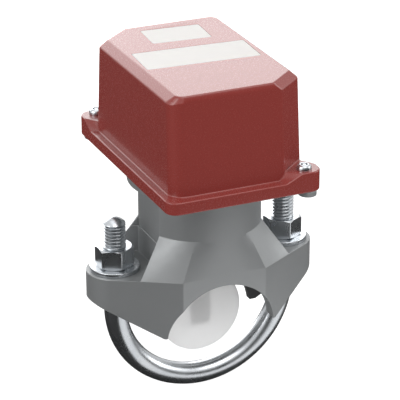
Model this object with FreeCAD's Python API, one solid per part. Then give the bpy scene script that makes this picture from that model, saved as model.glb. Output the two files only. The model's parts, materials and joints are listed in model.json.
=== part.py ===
import FreeCAD, Part
import math
import os
from FreeCAD import Vector

# Water flow detector: a saddle clamped to a pipe, a vane in the pipe and a switch housing on top.
# Millimetres. Origin on the pipe's axis under the vane stem, X across the pipe, Y along it, Z up.

# Pipe and running clearances
PIPE_RADIUS = 30.16
RUN_CLEARANCE = 0.05
MOVING_GAP = 0.3
SEAT_GAP = 0.1
CUT_OVERRUN = 1.0

# Rubber gasket between casting and pipe
GASKET_THICKNESS = 2.0
GASKET_HALF_LENGTH = 20.0
GASKET_WRAP_DEGREES = 50.0
GASKET_FOOT_HEIGHT = 8.0

# Rod clamp round the pipe
ROD_RADIUS = 6.35
STUD_SPACING = 101.6
STUD_ABOVE_NUT = 16.8
STUD_TIP_HEIGHT = 3.2
STUD_HOLE_CLEARANCE = 0.8
NUT_ACROSS_FLATS = 19.05
NUT_HEIGHT = 11.1
NUT_CHAMFER = 1.3
NUT_CHAMFER_RISE = 0.78
WASHER_RADIUS = 13.8
WASHER_THICKNESS = 2.4

# Saddle casting: ears and arch
EAR_TOP_ABOVE_ARCH = 6.1
EAR_RADIUS = 15.9
EAR_BOSS_RADIUS = 12.0
FRONT_HALF_WIDTH = 24.6
PRONG_TIP_Z = 3.9
PRONG_TIP_WIDTH = 1.6
PRONG_SLOPE = 0.565
WALL_THICKNESS = 8.0
POCKET_ROOF = 6.0
RIB_THICKNESS = 4.5
HUB_RADIUS = 22.0
STEM_BORE_RADIUS = 13.0

# Saddle casting: flare, neck and pan
SHOULDER_X = 44.8
FLARE_HEIGHT = 21.6
NECK_RADIUS = 34.0
NECK_HALF_WIDTH = 30.5
NECK_FACET_X = 15.6
NECK_HEIGHT = 24.4
PAN_RADIUS = 40.0
PAN_THICKNESS = 9.4
NECK_CAVITY_RADIUS = 24.0
NECK_FLOOR_ABOVE_FLARE = -5.9

# Housing: base plate, gasket and cover
HOUSING_X = -1.15
HOUSING_Y = 0.9
FLANGE_HALF_X = 44.25
FLANGE_HALF_Y = 66.0
FLANGE_HEIGHT = 7.0
FLANGE_CORNER = 6.5
SKIRT_WALL = 2.0
BASE_THICKNESS = 3.0
COVER_SEAL_THICKNESS = 1.5
LEDGE_X = 4.6
LEDGE_Y = 5.4
BODY_WALL_HEIGHT = 49.9
WALL_DRAFT_X = 0.5
WALL_DRAFT_Y = 3.6
TOP_CHAMFER_HEIGHT = 3.9
TOP_CHAMFER_X = 4.2
TOP_CHAMFER_Y = 1.4
CORNER_CUT_X = 15.8
CORNER_CUT_Y = 13.5
BODY_CORNER = 8.0
TOP_CORNER = 4.0
COVER_WALL = 2.5
PAD_RISE = 4.4
PAD_X = 12.2
PAD_Y = 10.6
PAD_RAMP = 8.9
PAD_RAMP_AT_BODY = 3.3
COVER_SCREW_INSET_X = 8.9
COVER_SCREW_INSET_Y = 5.7
COVER_SCREW_HEAD_RADIUS = 4.0
COVER_SCREW_HEAD_HEIGHT = 3.0
COVER_SCREW_RIM_HEIGHT = 1.2
COVER_SCREW_CROWN_RADIUS = 2.6
COVER_SOCKET_RADIUS = 1.9
COVER_SOCKET_DEPTH = 1.6
COVER_SOCKET_PIN_RADIUS = 0.95
COVER_SCREW_SHORTNESS = 1.0
SCREW_BOSS_RADIUS = 4.9
SCREW_BOSS_DEPTH = 3.0
SCREW_BOSS_OUT_X = 1.9
SCREW_BOSS_OUT_Y = 0.7
BASE_OPENING_RADIUS = 16.0
CONDUIT_RADIUS = 11.1
CONDUIT_INSET_X = 20.0
CONDUIT_INSET_Y = 20.0

# Fasteners
M4_RADIUS = 2.0
M3_RADIUS = 1.5
M4_HEAD_RADIUS = 3.5
M3_HEAD_RADIUS = 2.8
M4_HEAD_HEIGHT = 2.4
M3_HEAD_HEIGHT = 1.8
SLOT_WIDTH = 0.9
SLOT_DEPTH = 0.9
PAN_HEAD_RIM_SHARE = 0.6
PAN_HEAD_CROWN_SHARE = 0.8
THREAD_DEPTH = 8.0

# Stem seal, its retainer and the pivot
SEAL_FLANGE_RADIUS = 22.0
SEAL_FLANGE_THICKNESS = 2.5
SEAL_LIP_HEIGHT = 5.2
SEAL_LIP_WALL = 1.6
SEAL_CHAMFER = 1.0
SEAL_BORE_INSET = 2.0
RETAINER_THICKNESS = 3.0
RETAINER_BORE_RADIUS = 9.5
RETAINER_SCREW_RADIUS = 18.0
PIVOT_ABOVE_RETAINER = 3.2
PIVOT_PIN_RADIUS = 1.5
LUG_THICKNESS = 3.0
LUG_INNER_X = 6.5
LUG_HALF_WIDTH = 4.0
LUG_FOOT_OVERLAP = 2.0
LUG_FOOT_RISE = 1.0
PIVOT_PIN_OVERHANG = 0.8

# Vane and stem
VANE_RADIUS = 24.3
VANE_CENTRE_Z = 2.6
VANE_THICKNESS = 1.6
VANE_SWING_DEGREES = 12.0
STEM_RADIUS = 4.0
STEM_TOP_ABOVE_PIVOT = 24.0
STEM_FOOT_ABOVE_VANE = 3.2
BLADE_HALF_WIDTH = 6.0
BLADE_THICKNESS = 1.6
BLADE_BELOW_CENTRE = 8.6
CLAMP_HEIGHT = 7.5
CLAMP_BELOW_RIM = 0.6
RIVET_RADIUS = 1.2
RIVET_HEAD_RADIUS = 2.1
RIVET_HEAD_HEIGHT = 0.8
RIVET_HALF_SPACING = 3.2

# Trip lever: a flat plate with a ramp that lifts the plunger
LEVER_THICKNESS = 4.0
LEVER_HALF_WIDTH = 3.2
LEVER_SLOT_DEPTH = 10.0
LEVER_PIN_RADIUS = 1.0
CAM_ABOVE_PIVOT = 44.0
CAM_SLOPE = 0.3
CAM_REACH = 11.4
CAM_HEEL = 4.0
CAM_DEPTH = 7.0
CAM_NECK = 2.0

# Plunger, actuator arm, clips and return spring
PLUNGER_RADIUS = 2.5
PISTON_RADIUS = 9.0
PISTON_THICKNESS = 3.0
ARM_ABOVE_CAM = 6.0
ARM_THICKNESS = 3.0
ARM_HALF_LENGTH = 27.0
ARM_FRONT_Y = -4.0
ARM_BACK_Y = 9.0
ARM_HUB_HALF = 8.5
ARM_PAD_HALF = 4.0
CLIP_RADIUS = 4.5
CLIP_THICKNESS = 0.8
SPRING_LENGTH = 10.2
SPRING_TURNS = 4
SPRING_COIL_RADIUS = 3.7
SPRING_WIRE_RADIUS = 0.45

# Retard cylinder and its setting dial
RETARD_RADIUS = 13.0
RETARD_FLOOR = 3.0
RETARD_ROOF = 3.0
RETARD_PLAY = 1.2
DIAL_RADIUS = 11.0
DIAL_HEIGHT = 4.5
DIAL_CHAMFER = 0.8
DIAL_FLUTES = 18
DIAL_FLUTE_RADIUS = 0.9
DIAL_SPINDLE_DEPTH = 2.0
RETARD_SCREW_X = 11.1
RETARD_SCREW_RADIUS = 1.0
RETARD_SCREW_HEAD_RADIUS = 1.8

# Bracket and snap switches
SHEET_THICKNESS = 1.5
BRACKET_BEHIND_CAM = 0.6
BRACKET_SCREW_MARGIN = 2.4
BRACKET_WAIST = 18.0
BRACKET_WAIST_HEIGHT = 12.0
BRACKET_FOOT_LENGTH = 13.0
BRACKET_SCREW_X = 12.0
SHELF_SIDE_GAP = 1.0
SHELF_HOLE_CLEARANCE = 0.5
SWITCH_WALL_GAP = 2.1
SWITCH_HEIGHT = 15.9
SWITCH_DEPTH = 10.2
SWITCH_GAP = 0.6
SWITCH_SCREW_INSET = 3.4
SWITCH_SCREW_HEIGHT = 4.6
SWITCH_SCREW_RADIUS = 1.2
SWITCH_SCREW_HEAD_RADIUS = 2.04
TERMINAL_SPACING = 6.2
TERMINAL_HEIGHT = 12.0
TERMINAL_RADIUS = 1.2
TERMINAL_HEAD_RADIUS = 2.4
TERMINAL_DEPTH = 3.0
BUTTON_RADIUS = 1.6
BUTTON_TRAVEL = 1.5
BUTTON_STANDOFF = 2.4
BUTTON_GUIDE_DEPTH = 1.0
EARTH_SCREW_INSET_X = 24.0
EARTH_SCREW_INSET_Y = 22.9

# Heights and places worked out from the sizes above
ARCH_RADIUS = PIPE_RADIUS + GASKET_THICKNESS
EAR_TOP = ARCH_RADIUS + EAR_TOP_ABOVE_ARCH
FLARE_TOP = EAR_TOP + FLARE_HEIGHT
PAN_BOTTOM = FLARE_TOP + NECK_HEIGHT
PAN_TOP = PAN_BOTTOM + PAN_THICKNESS
NECK_FLOOR = FLARE_TOP + NECK_FLOOR_ABOVE_FLARE
STUD_X = STUD_SPACING / 2
BEND_CENTRE_Z = STUD_X - ROD_RADIUS - PIPE_RADIUS
WASHER_TOP = EAR_TOP + WASHER_THICKNESS
NUT_BOTTOM = WASHER_TOP + SEAT_GAP
NUT_TOP = NUT_BOTTOM + NUT_HEIGHT
STUD_TOP = NUT_TOP + STUD_ABOVE_NUT
BASE_TOP = PAN_TOP + BASE_THICKNESS
LEDGE_Z = BASE_TOP + COVER_SEAL_THICKNESS
FLANGE_TOP = PAN_TOP + FLANGE_HEIGHT
WALL_TOP = FLANGE_TOP + BODY_WALL_HEIGHT
COVER_TOP = WALL_TOP + TOP_CHAMFER_HEIGHT
PAD_TOP = FLANGE_TOP + PAD_RISE
BODY_FOOT_HALF_X = FLANGE_HALF_X - LEDGE_X
BODY_FOOT_HALF_Y = FLANGE_HALF_Y - LEDGE_Y
BODY_HEAD_HALF_X = BODY_FOOT_HALF_X - WALL_DRAFT_X
BODY_HEAD_HALF_Y = BODY_FOOT_HALF_Y - WALL_DRAFT_Y
TOP_HALF_X = BODY_HEAD_HALF_X - TOP_CHAMFER_X
TOP_HALF_Y = BODY_HEAD_HALF_Y - TOP_CHAMFER_Y
COVER_SCREW_X = FLANGE_HALF_X - COVER_SCREW_INSET_X
COVER_SCREW_Y = FLANGE_HALF_Y - COVER_SCREW_INSET_Y
CONDUIT_X = FLANGE_HALF_X - CONDUIT_INSET_X
CONDUIT_Y = FLANGE_HALF_Y - CONDUIT_INSET_Y
EARTH_SCREW_X = EARTH_SCREW_INSET_X - FLANGE_HALF_X
EARTH_SCREW_Y = FLANGE_HALF_Y - EARTH_SCREW_INSET_Y
RETAINER_BOTTOM = NECK_FLOOR + SEAL_FLANGE_THICKNESS
RETAINER_TOP = RETAINER_BOTTOM + RETAINER_THICKNESS
PIVOT_Z = RETAINER_TOP + PIVOT_ABOVE_RETAINER
STEM_TOP = PIVOT_Z + STEM_TOP_ABOVE_PIVOT
STEM_FOOT = VANE_CENTRE_Z + VANE_RADIUS + STEM_FOOT_ABOVE_VANE
CAM_Z = PIVOT_Z + CAM_ABOVE_PIVOT
CAM_TILT = math.atan(CAM_SLOPE)
VANE_SWING = math.radians(VANE_SWING_DEGREES)
CAM_CONTACT_Y = CAM_ABOVE_PIVOT * math.sin(VANE_SWING) / (math.cos(VANE_SWING) - CAM_SLOPE * math.sin(VANE_SWING))
CAM_LIFT = (CAM_CONTACT_Y * math.sin(VANE_SWING) + (CAM_ABOVE_PIVOT + CAM_SLOPE * CAM_CONTACT_Y)
            * math.cos(VANE_SWING) - CAM_ABOVE_PIVOT)
FOOT_REACH = PLUNGER_RADIUS + MOVING_GAP
FOOT_GAP = FOOT_REACH / math.cos(CAM_TILT) - PLUNGER_RADIUS
PLUNGER_RISE = CAM_LIFT + FOOT_REACH / math.cos(CAM_TILT + VANE_SWING) - FOOT_REACH / math.cos(CAM_TILT)
ARM_BOTTOM = CAM_Z + ARM_ABOVE_CAM
ARM_TOP = ARM_BOTTOM + ARM_THICKNESS
SPRING_BOTTOM = ARM_TOP + CLIP_THICKNESS
SHELF_BOTTOM = SPRING_BOTTOM + SPRING_LENGTH
SHELF_TOP = SHELF_BOTTOM + SHEET_THICKNESS
PISTON_BOTTOM = SHELF_TOP + RETARD_FLOOR + MOVING_GAP
PISTON_TOP = PISTON_BOTTOM + PISTON_THICKNESS
RETARD_ROOM_TOP = PISTON_TOP + PLUNGER_RISE + RETARD_PLAY
RETARD_TOP = RETARD_ROOM_TOP + RETARD_ROOF
BUTTON_BOTTOM = ARM_TOP + PLUNGER_RISE - BUTTON_TRAVEL + MOVING_GAP
SWITCH_BOTTOM = BUTTON_BOTTOM + BUTTON_STANDOFF
SWITCH_TOP = SWITCH_BOTTOM + SWITCH_HEIGHT
BRACKET_Y = CAM_REACH + BRACKET_BEHIND_CAM
SWITCH_FRONT = BRACKET_Y - SWITCH_DEPTH
SWITCH_INNER_X = RETARD_RADIUS + SWITCH_GAP
SWITCH_LENGTH = HOUSING_X + BODY_HEAD_HALF_X - COVER_WALL - SWITCH_WALL_GAP - SWITCH_INNER_X
SWITCH_SCREW_HALF_SPACING = SWITCH_LENGTH / 2 - SWITCH_SCREW_INSET
SWITCH_MID_X = SWITCH_INNER_X + SWITCH_LENGTH / 2
BRACKET_HALF_WIDTH = SWITCH_MID_X + SWITCH_SCREW_HALF_SPACING + BRACKET_SCREW_MARGIN

UP = Vector(0, 0, 1)
ACROSS = Vector(1, 0, 0)
ALONG = Vector(0, 1, 0)
CENTRE = Vector(0, 0, 0)
REACH = 2 * STUD_SPACING


def rod(radius, x, y, low, high):
    """Upright round bar between two heights."""
    return Part.makeCylinder(radius, high - low, Vector(x, y, low))


def block(x_low, x_high, y_low, y_high, low, high):
    """Box between its lowest and highest corners."""
    return Part.makeBox(x_high - x_low, y_high - y_low, high - low, Vector(x_low, y_low, low))


def prism(points, low, high):
    """Upright prism on a plan outline of (x, y) points."""
    corners = [Vector(x, y, low) for x, y in points]
    face = Part.Face(Part.makePolygon(corners + corners[:1]))
    return face.extrude(UP * (high - low))


def turned(profile, x=0.0, y=0.0):
    """Solid of revolution about an upright axis, from (radius, height) points."""
    corners = [Vector(radius, 0, height) for radius, height in profile]
    face = Part.Face(Part.makePolygon(corners + corners[:1]))
    solid = face.revolve(CENTRE, UP, 360)
    solid.translate(Vector(x, y, 0))
    return solid


def joined(shapes):
    """One shape fused from several, with the seams between flush faces removed."""
    return shapes[0].fuse(shapes[1:]).removeSplitter()


def four_ways(radius, start_degrees=45.0):
    """Four points on a circle about the stem, a quarter turn apart."""
    angles = [math.radians(start_degrees + quarter * 90.0) for quarter in range(4)]
    return [(radius * math.cos(a), radius * math.sin(a)) for a in angles]


def slotted_screw(shank_radius, head_radius, head_height, shank_length):
    """Pan head screw on the Z axis, its head standing on z = 0 and its shank below."""
    rim = head_height * PAN_HEAD_RIM_SHARE
    crown = head_radius * PAN_HEAD_CROWN_SHARE
    head = turned([(0, 0), (head_radius, 0), (head_radius, rim), (crown, head_height), (0, head_height)])
    shank = rod(shank_radius, 0, 0, -shank_length, 0)
    slot = block(-head_radius, head_radius, -SLOT_WIDTH / 2, SLOT_WIDTH / 2,
                 head_height - SLOT_DEPTH, head_height)
    return joined([head, shank]).cut(slot)


def placed(shape, x, y, z, turn_axis=None, turn_degrees=0.0):
    """Copy of a shape, turned about an axis through the origin and then moved."""
    copy = shape.copy()
    if turn_axis is not None:
        copy.rotate(CENTRE, turn_axis, turn_degrees)
    copy.translate(Vector(x, y, z))
    return copy


def save(name, shape):
    """Writes one sub-part."""
    shape.exportStep(os.path.join("parts", name + ".step"))


# Plan of the casting: tangent lines from the front corners to the round ears

def ear_tangent():
    """Point where the straight side leaves the ear's circle, for the corner at +X, +Y."""
    run = STUD_X - FRONT_HALF_WIDTH
    distance = math.hypot(run, NECK_RADIUS)
    angle = math.atan2(NECK_RADIUS, -run) - math.acos(EAR_RADIUS / distance)
    return STUD_X + EAR_RADIUS * math.cos(angle), EAR_RADIUS * math.sin(angle)


def side_y(x):
    """Y of the casting's straight side at a given X."""
    end_x, end_y = ear_tangent()
    share = (x - FRONT_HALF_WIDTH) / (end_x - FRONT_HALF_WIDTH)
    return NECK_RADIUS + share * (end_y - NECK_RADIUS)


def saddle_plan(low):
    """Closed outline of the ears and the flat front and back."""
    end_x, end_y = ear_tangent()
    ear_tip = STUD_X + EAR_RADIUS

    def at(x, y):
        return Vector(x, y, low)

    edges = []
    for side in (1, -1):
        edges.append(Part.makeLine(at(-side * FRONT_HALF_WIDTH, -side * NECK_RADIUS),
                                   at(side * FRONT_HALF_WIDTH, -side * NECK_RADIUS)))
        edges.append(Part.makeLine(at(side * FRONT_HALF_WIDTH, -side * NECK_RADIUS),
                                   at(side * end_x, -side * end_y)))
        edges.append(Part.Arc(at(side * end_x, -side * end_y), at(side * ear_tip, 0),
                              at(side * end_x, side * end_y)).toShape())
        edges.append(Part.makeLine(at(side * end_x, side * end_y),
                                   at(side * FRONT_HALF_WIDTH, side * NECK_RADIUS)))
    return Part.Wire(edges)


def front_profile(half_length):
    """Prism along Y of what the casting fills, seen from the front: arch, prongs and slanted underside."""
    ear_tip = STUD_X + EAR_RADIUS
    arch_x = math.sqrt(ARCH_RADIUS ** 2 - PRONG_TIP_Z ** 2)
    tip_x = arch_x + PRONG_TIP_WIDTH
    ear_z = PRONG_TIP_Z + PRONG_SLOPE * (ear_tip - tip_x)

    def at(x, z):
        return Vector(x, -half_length, z)

    points = [at(-arch_x, PRONG_TIP_Z), at(-tip_x, PRONG_TIP_Z), at(-ear_tip, ear_z), at(-ear_tip, EAR_TOP),
              at(ear_tip, EAR_TOP), at(ear_tip, ear_z), at(tip_x, PRONG_TIP_Z), at(arch_x, PRONG_TIP_Z)]
    edges = [Part.makeLine(a, b) for a, b in zip(points, points[1:])]
    edges.append(Part.Arc(points[-1], at(0, ARCH_RADIUS), points[0]).toShape())
    return Part.Face(Part.Wire(edges)).extrude(ALONG * (2 * half_length))


def neck_plan(height, half_width):
    """Round outline of the neck with its two flats, split where the flare's facets meet it."""
    flat_y = math.sqrt(NECK_RADIUS ** 2 - half_width ** 2)
    facet_y = math.sqrt(NECK_RADIUS ** 2 - NECK_FACET_X ** 2)

    def on_circle(start, end):
        middle = Vector((start[0] + end[0]) / 2, (start[1] + end[1]) / 2, 0)
        middle = middle * (NECK_RADIUS / middle.Length) + UP * height
        return Part.Arc(Vector(start[0], start[1], height), middle,
                        Vector(end[0], end[1], height)).toShape()

    edges = []
    for side in (1, -1):
        right_flat = (side * half_width, side * flat_y)
        right_facet = (side * NECK_FACET_X, side * facet_y)
        left_facet = (-side * NECK_FACET_X, side * facet_y)
        left_flat = (-side * half_width, side * flat_y)
        edges.append(on_circle(right_flat, right_facet))
        edges.append(on_circle(right_facet, left_facet))
        edges.append(on_circle(left_facet, left_flat))
        edges.append(Part.makeLine(Vector(left_flat[0], left_flat[1], height),
                                   Vector(left_flat[0], -left_flat[1], height)))
    return Part.Wire(edges)


def flare():
    """Ruled flare from the eight-sided shoulder up to the neck."""
    shoulder_y = side_y(SHOULDER_X)
    foot = []
    for side in (1, -1):
        foot.append(Vector(side * SHOULDER_X, side * shoulder_y, EAR_TOP))
        foot.append(Vector(side * FRONT_HALF_WIDTH, side * NECK_RADIUS, EAR_TOP))
        foot.append(Vector(-side * FRONT_HALF_WIDTH, side * NECK_RADIUS, EAR_TOP))
        foot.append(Vector(-side * SHOULDER_X, side * shoulder_y, EAR_TOP))
    foot_wire = Part.makePolygon(foot + foot[:1])
    return Part.makeLoft([foot_wire, neck_plan(FLARE_TOP, NECK_HALF_WIDTH)], True, True)


def nut_pocket(side):
    """Space for a nut and washer beside the neck, opening outwards between the two ridges."""
    flat_y = math.sqrt(NECK_RADIUS ** 2 - NECK_HALF_WIDTH ** 2)
    spread = (side_y(SHOULDER_X) - flat_y) / (SHOULDER_X - NECK_HALF_WIDTH)
    far_x = STUD_X + 2 * EAR_RADIUS
    far_y = flat_y + spread * (far_x - NECK_HALF_WIDTH)
    points = [(side * NECK_HALF_WIDTH, -flat_y), (side * far_x, -far_y),
              (side * far_x, far_y), (side * NECK_HALF_WIDTH, flat_y)]
    return prism(points, EAR_TOP, FLARE_TOP)


def underside_pockets():
    """Hollows between the outer wall, the hub, the ear bosses and the middle rib."""
    outline = Part.Face(saddle_plan(0.0))
    inner = outline.makeOffset2D(-WALL_THICKNESS)
    room = inner.extrude(UP * (EAR_TOP - POCKET_ROOF))
    rib_half = RIB_THICKNESS / 2
    kept = [rod(HUB_RADIUS, 0, 0, 0, EAR_TOP), block(-REACH, REACH, -rib_half, rib_half, 0, EAR_TOP)]
    for side in (1, -1):
        kept.append(rod(EAR_BOSS_RADIUS, side * STUD_X, 0, 0, EAR_TOP))
    return room.cut(kept)


def gasket_feet():
    """The two rubber ends that close the middle rib's prongs."""
    rib_half = RIB_THICKNESS / 2
    foot_top = PRONG_TIP_Z + GASKET_FOOT_HEIGHT
    slice_of_profile = front_profile(rib_half)
    feet = slice_of_profile.common(block(-STUD_X, STUD_X, -REACH, REACH, 0, foot_top))
    bosses = [rod(EAR_BOSS_RADIUS, side * STUD_X, 0, 0, foot_top) for side in (1, -1)]
    return feet.cut(bosses)


def casting():
    """The whole casting, foot and head in one."""
    plan = Part.Face(saddle_plan(0.0)).extrude(UP * EAR_TOP)
    ears = plan.common(front_profile(NECK_RADIUS))
    ears = ears.cut(underside_pockets())
    ears = ears.cut(gasket_feet())
    neck = Part.Face(neck_plan(EAR_TOP, NECK_HALF_WIDTH)).extrude(UP * (PAN_BOTTOM - EAR_TOP))
    pan = rod(PAN_RADIUS, 0, 0, PAN_BOTTOM, PAN_TOP)
    upper = flare().cut([nut_pocket(1), nut_pocket(-1)])
    body = joined([ears, upper, neck, pan])
    cuts = [rod(STEM_BORE_RADIUS, 0, 0, 0, NECK_FLOOR + CUT_OVERRUN),
            rod(NECK_CAVITY_RADIUS, 0, 0, NECK_FLOOR, PAN_TOP)]
    for side in (1, -1):
        cuts.append(rod(ROD_RADIUS + STUD_HOLE_CLEARANCE, side * STUD_X, 0, 0, EAR_TOP))
    for x, y in four_ways(RETAINER_SCREW_RADIUS):
        cuts.append(rod(M3_RADIUS + RUN_CLEARANCE, x, y, NECK_FLOOR - THREAD_DEPTH, NECK_FLOOR))
    for x, y in four_ways(base_screw_radius()):
        cuts.append(rod(M4_RADIUS + RUN_CLEARANCE, x, y, PAN_TOP - THREAD_DEPTH, PAN_TOP))
    return body.cut(cuts)


def saddle_casting(whole):
    """Foot of the casting: ears, flare and stem bore, up to the floor of the neck's cavity."""
    return whole.common(block(-REACH, REACH, -REACH, REACH, -REACH, NECK_FLOOR))


def neck_casting(whole):
    """Head of the casting: the neck and the pan round the cavity."""
    return whole.common(block(-REACH, REACH, -REACH, REACH, NECK_FLOOR, PAN_TOP))


def saddle_gasket():
    arch = rod(ARCH_RADIUS, 0, 0, -GASKET_HALF_LENGTH, GASKET_HALF_LENGTH)
    arch = arch.cut(rod(PIPE_RADIUS, 0, 0, -GASKET_HALF_LENGTH, GASKET_HALF_LENGTH))
    arch.rotate(CENTRE, ACROSS, 90)
    wrap = math.radians(GASKET_WRAP_DEGREES)
    far = 2 * ARCH_RADIUS
    sector = [(0, 0), (far * math.sin(wrap), far * math.cos(wrap)), (0, 2 * far),
              (-far * math.sin(wrap), far * math.cos(wrap))]
    corners = [Vector(x, -GASKET_HALF_LENGTH, z) for x, z in sector]
    face = Part.Face(Part.makePolygon(corners + corners[:1]))
    pad = arch.common(face.extrude(ALONG * (2 * GASKET_HALF_LENGTH)))
    rib_half = RIB_THICKNESS / 2
    tails = arch.common(block(-REACH, REACH, -rib_half, rib_half, PRONG_TIP_Z, ARCH_RADIUS))
    return joined([pad, tails, gasket_feet()]).cut(rod(STEM_BORE_RADIUS, 0, 0, 0, ARCH_RADIUS))


def domed_stud():
    """One straight leg of the rod on the Z axis, its end a flat dome as wide as the rod."""
    shoulder = STUD_TOP - STUD_TIP_HEIGHT
    dome_radius = (ROD_RADIUS ** 2 + STUD_TIP_HEIGHT ** 2) / (2 * STUD_TIP_HEIGHT)
    half_angle = math.asin(ROD_RADIUS / dome_radius) / 2
    half_way = Vector(dome_radius * math.sin(half_angle), 0,
                      STUD_TOP - dome_radius * (1 - math.cos(half_angle)))
    corners = [Vector(0, 0, STUD_TOP), Vector(0, 0, BEND_CENTRE_Z), Vector(ROD_RADIUS, 0, BEND_CENTRE_Z),
               Vector(ROD_RADIUS, 0, shoulder)]
    edges = [Part.makeLine(a, b) for a, b in zip(corners, corners[1:])]
    edges.append(Part.Arc(corners[-1], half_way, corners[0]).toShape())
    return Part.Face(Part.Wire(edges)).revolve(CENTRE, UP, 360)


def u_bolt():
    ring = Part.Face(Part.Wire(Part.makeCircle(ROD_RADIUS, Vector(STUD_X, 0, BEND_CENTRE_Z))))
    bend = ring.revolve(Vector(0, 0, BEND_CENTRE_Z), ALONG, 180)
    stud = domed_stud()
    return joined([bend] + [placed(stud, side * STUD_X, 0, 0) for side in (1, -1)])


def washer(side):
    ring = rod(WASHER_RADIUS, side * STUD_X, 0, EAR_TOP, WASHER_TOP)
    return ring.cut(rod(ROD_RADIUS + STUD_HOLE_CLEARANCE / 2, side * STUD_X, 0, EAR_TOP, WASHER_TOP))


def hex_nut(side):
    corner_radius = NUT_ACROSS_FLATS / math.sqrt(3)
    flat_radius = NUT_ACROSS_FLATS / 2
    points = [(corner_radius * math.cos(math.radians(60 * k)), corner_radius * math.sin(math.radians(60 * k)))
              for k in range(6)]
    hexagon = prism(points, 0, NUT_HEIGHT)
    rounding = turned([(0, 0), (flat_radius, 0), (flat_radius + NUT_CHAMFER, NUT_CHAMFER_RISE),
                       (flat_radius + NUT_CHAMFER, NUT_HEIGHT - NUT_CHAMFER_RISE),
                       (flat_radius, NUT_HEIGHT), (0, NUT_HEIGHT)])
    nut = hexagon.common(rounding).cut(rod(ROD_RADIUS + RUN_CLEARANCE, 0, 0, 0, NUT_HEIGHT))
    return placed(nut, side * STUD_X, 0, NUT_BOTTOM, UP, 30)


# Seal, retainer and pivot

def stem_seal():
    grip = STEM_RADIUS + RUN_CLEARANCE
    top = NECK_FLOOR + SEAL_LIP_HEIGHT
    profile = [(grip, NECK_FLOOR + SEAL_CHAMFER), (STEM_BORE_RADIUS - SEAL_BORE_INSET, NECK_FLOOR),
               (SEAL_FLANGE_RADIUS, NECK_FLOOR), (SEAL_FLANGE_RADIUS, RETAINER_BOTTOM),
               (RETAINER_BORE_RADIUS - SEAL_CHAMFER, RETAINER_BOTTOM),
               (grip + SEAL_LIP_WALL, top - SEAL_CHAMFER), (grip + SEAL_LIP_WALL, top), (grip, top)]
    seal = turned(profile)
    holes = [rod(M3_RADIUS + RUN_CLEARANCE, x, y, NECK_FLOOR, RETAINER_BOTTOM)
             for x, y in four_ways(RETAINER_SCREW_RADIUS)]
    return seal.cut(holes)


def seal_retainer():
    ring = rod(SEAL_FLANGE_RADIUS, 0, 0, RETAINER_BOTTOM, RETAINER_TOP)
    ring = ring.cut(rod(RETAINER_BORE_RADIUS, 0, 0, RETAINER_BOTTOM, RETAINER_TOP))
    pieces = [ring]
    for side in (1, -1):
        near = side * LUG_INNER_X
        far = side * (LUG_INNER_X + LUG_THICKNESS)
        inner_end = min(near, far)
        outer_end = max(near, far)
        pieces.append(block(inner_end, outer_end, -LUG_HALF_WIDTH, LUG_HALF_WIDTH, RETAINER_TOP, PIVOT_Z))
        eye = Part.makeCylinder(LUG_HALF_WIDTH, LUG_THICKNESS, Vector(inner_end, 0, PIVOT_Z), ACROSS)
        pieces.append(eye)
        ring_foot = RETAINER_BORE_RADIUS + LUG_FOOT_OVERLAP
        foot_low = min(near, side * ring_foot)
        foot_high = max(near, side * ring_foot)
        pieces.append(block(foot_low, foot_high, -LUG_HALF_WIDTH, LUG_HALF_WIDTH,
                            RETAINER_TOP - LUG_FOOT_RISE, RETAINER_TOP + LUG_FOOT_RISE))
    cuts = [Part.makeCylinder(PIVOT_PIN_RADIUS + RUN_CLEARANCE, REACH, Vector(-REACH / 2, 0, PIVOT_Z), ACROSS)]
    for x, y in four_ways(RETAINER_SCREW_RADIUS):
        cuts.append(rod(M3_RADIUS + RUN_CLEARANCE, x, y, RETAINER_BOTTOM, RETAINER_TOP))
    return joined(pieces).cut(cuts)


def pivot_pin():
    half = LUG_INNER_X + LUG_THICKNESS + PIVOT_PIN_OVERHANG
    return Part.makeCylinder(PIVOT_PIN_RADIUS, 2 * half, Vector(-half, 0, PIVOT_Z), ACROSS)


# Vane, stem and trip lever

def rivet_points():
    height = VANE_CENTRE_Z + VANE_RADIUS - CLAMP_BELOW_RIM - CLAMP_HEIGHT / 2
    return [(-RIVET_HALF_SPACING, height), (RIVET_HALF_SPACING, height)]


def rivet_holes(low_y, high_y):
    return [Part.makeCylinder(RIVET_RADIUS, high_y - low_y, Vector(x, low_y, z), ALONG)
            for x, z in rivet_points()]


def vane_disc():
    half = VANE_THICKNESS / 2
    disc = Part.makeCylinder(VANE_RADIUS, VANE_THICKNESS, Vector(0, -half, VANE_CENTRE_Z), ALONG)
    return disc.cut(rivet_holes(-half, half))


def vane_stem():
    near = VANE_THICKNESS / 2
    far = near + BLADE_THICKNESS
    blade_low = VANE_CENTRE_Z - BLADE_BELOW_CENTRE
    blade = block(-BLADE_HALF_WIDTH, BLADE_HALF_WIDTH, near, far, blade_low, STEM_FOOT + STEM_RADIUS)
    blade = blade.cut(rivet_holes(near, far))
    shaft = rod(STEM_RADIUS, 0, 0, STEM_FOOT, STEM_TOP)
    web_top = STEM_FOOT + 2 * STEM_RADIUS
    web = block(-LEVER_THICKNESS / 2, LEVER_THICKNESS / 2, -STEM_RADIUS / 2, far, STEM_FOOT, web_top)
    stem = joined([blade, shaft, web])
    half_slot = LEVER_THICKNESS / 2 + RUN_CLEARANCE
    slot = block(-half_slot, half_slot, -STEM_RADIUS, STEM_RADIUS, STEM_TOP - LEVER_SLOT_DEPTH, STEM_TOP)
    pin_hole = Part.makeCylinder(PIVOT_PIN_RADIUS + RUN_CLEARANCE, 2 * STEM_RADIUS,
                                 Vector(-STEM_RADIUS, 0, PIVOT_Z), ACROSS)
    return stem.cut([slot, pin_hole, lever_pin_body(RUN_CLEARANCE)])


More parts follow.
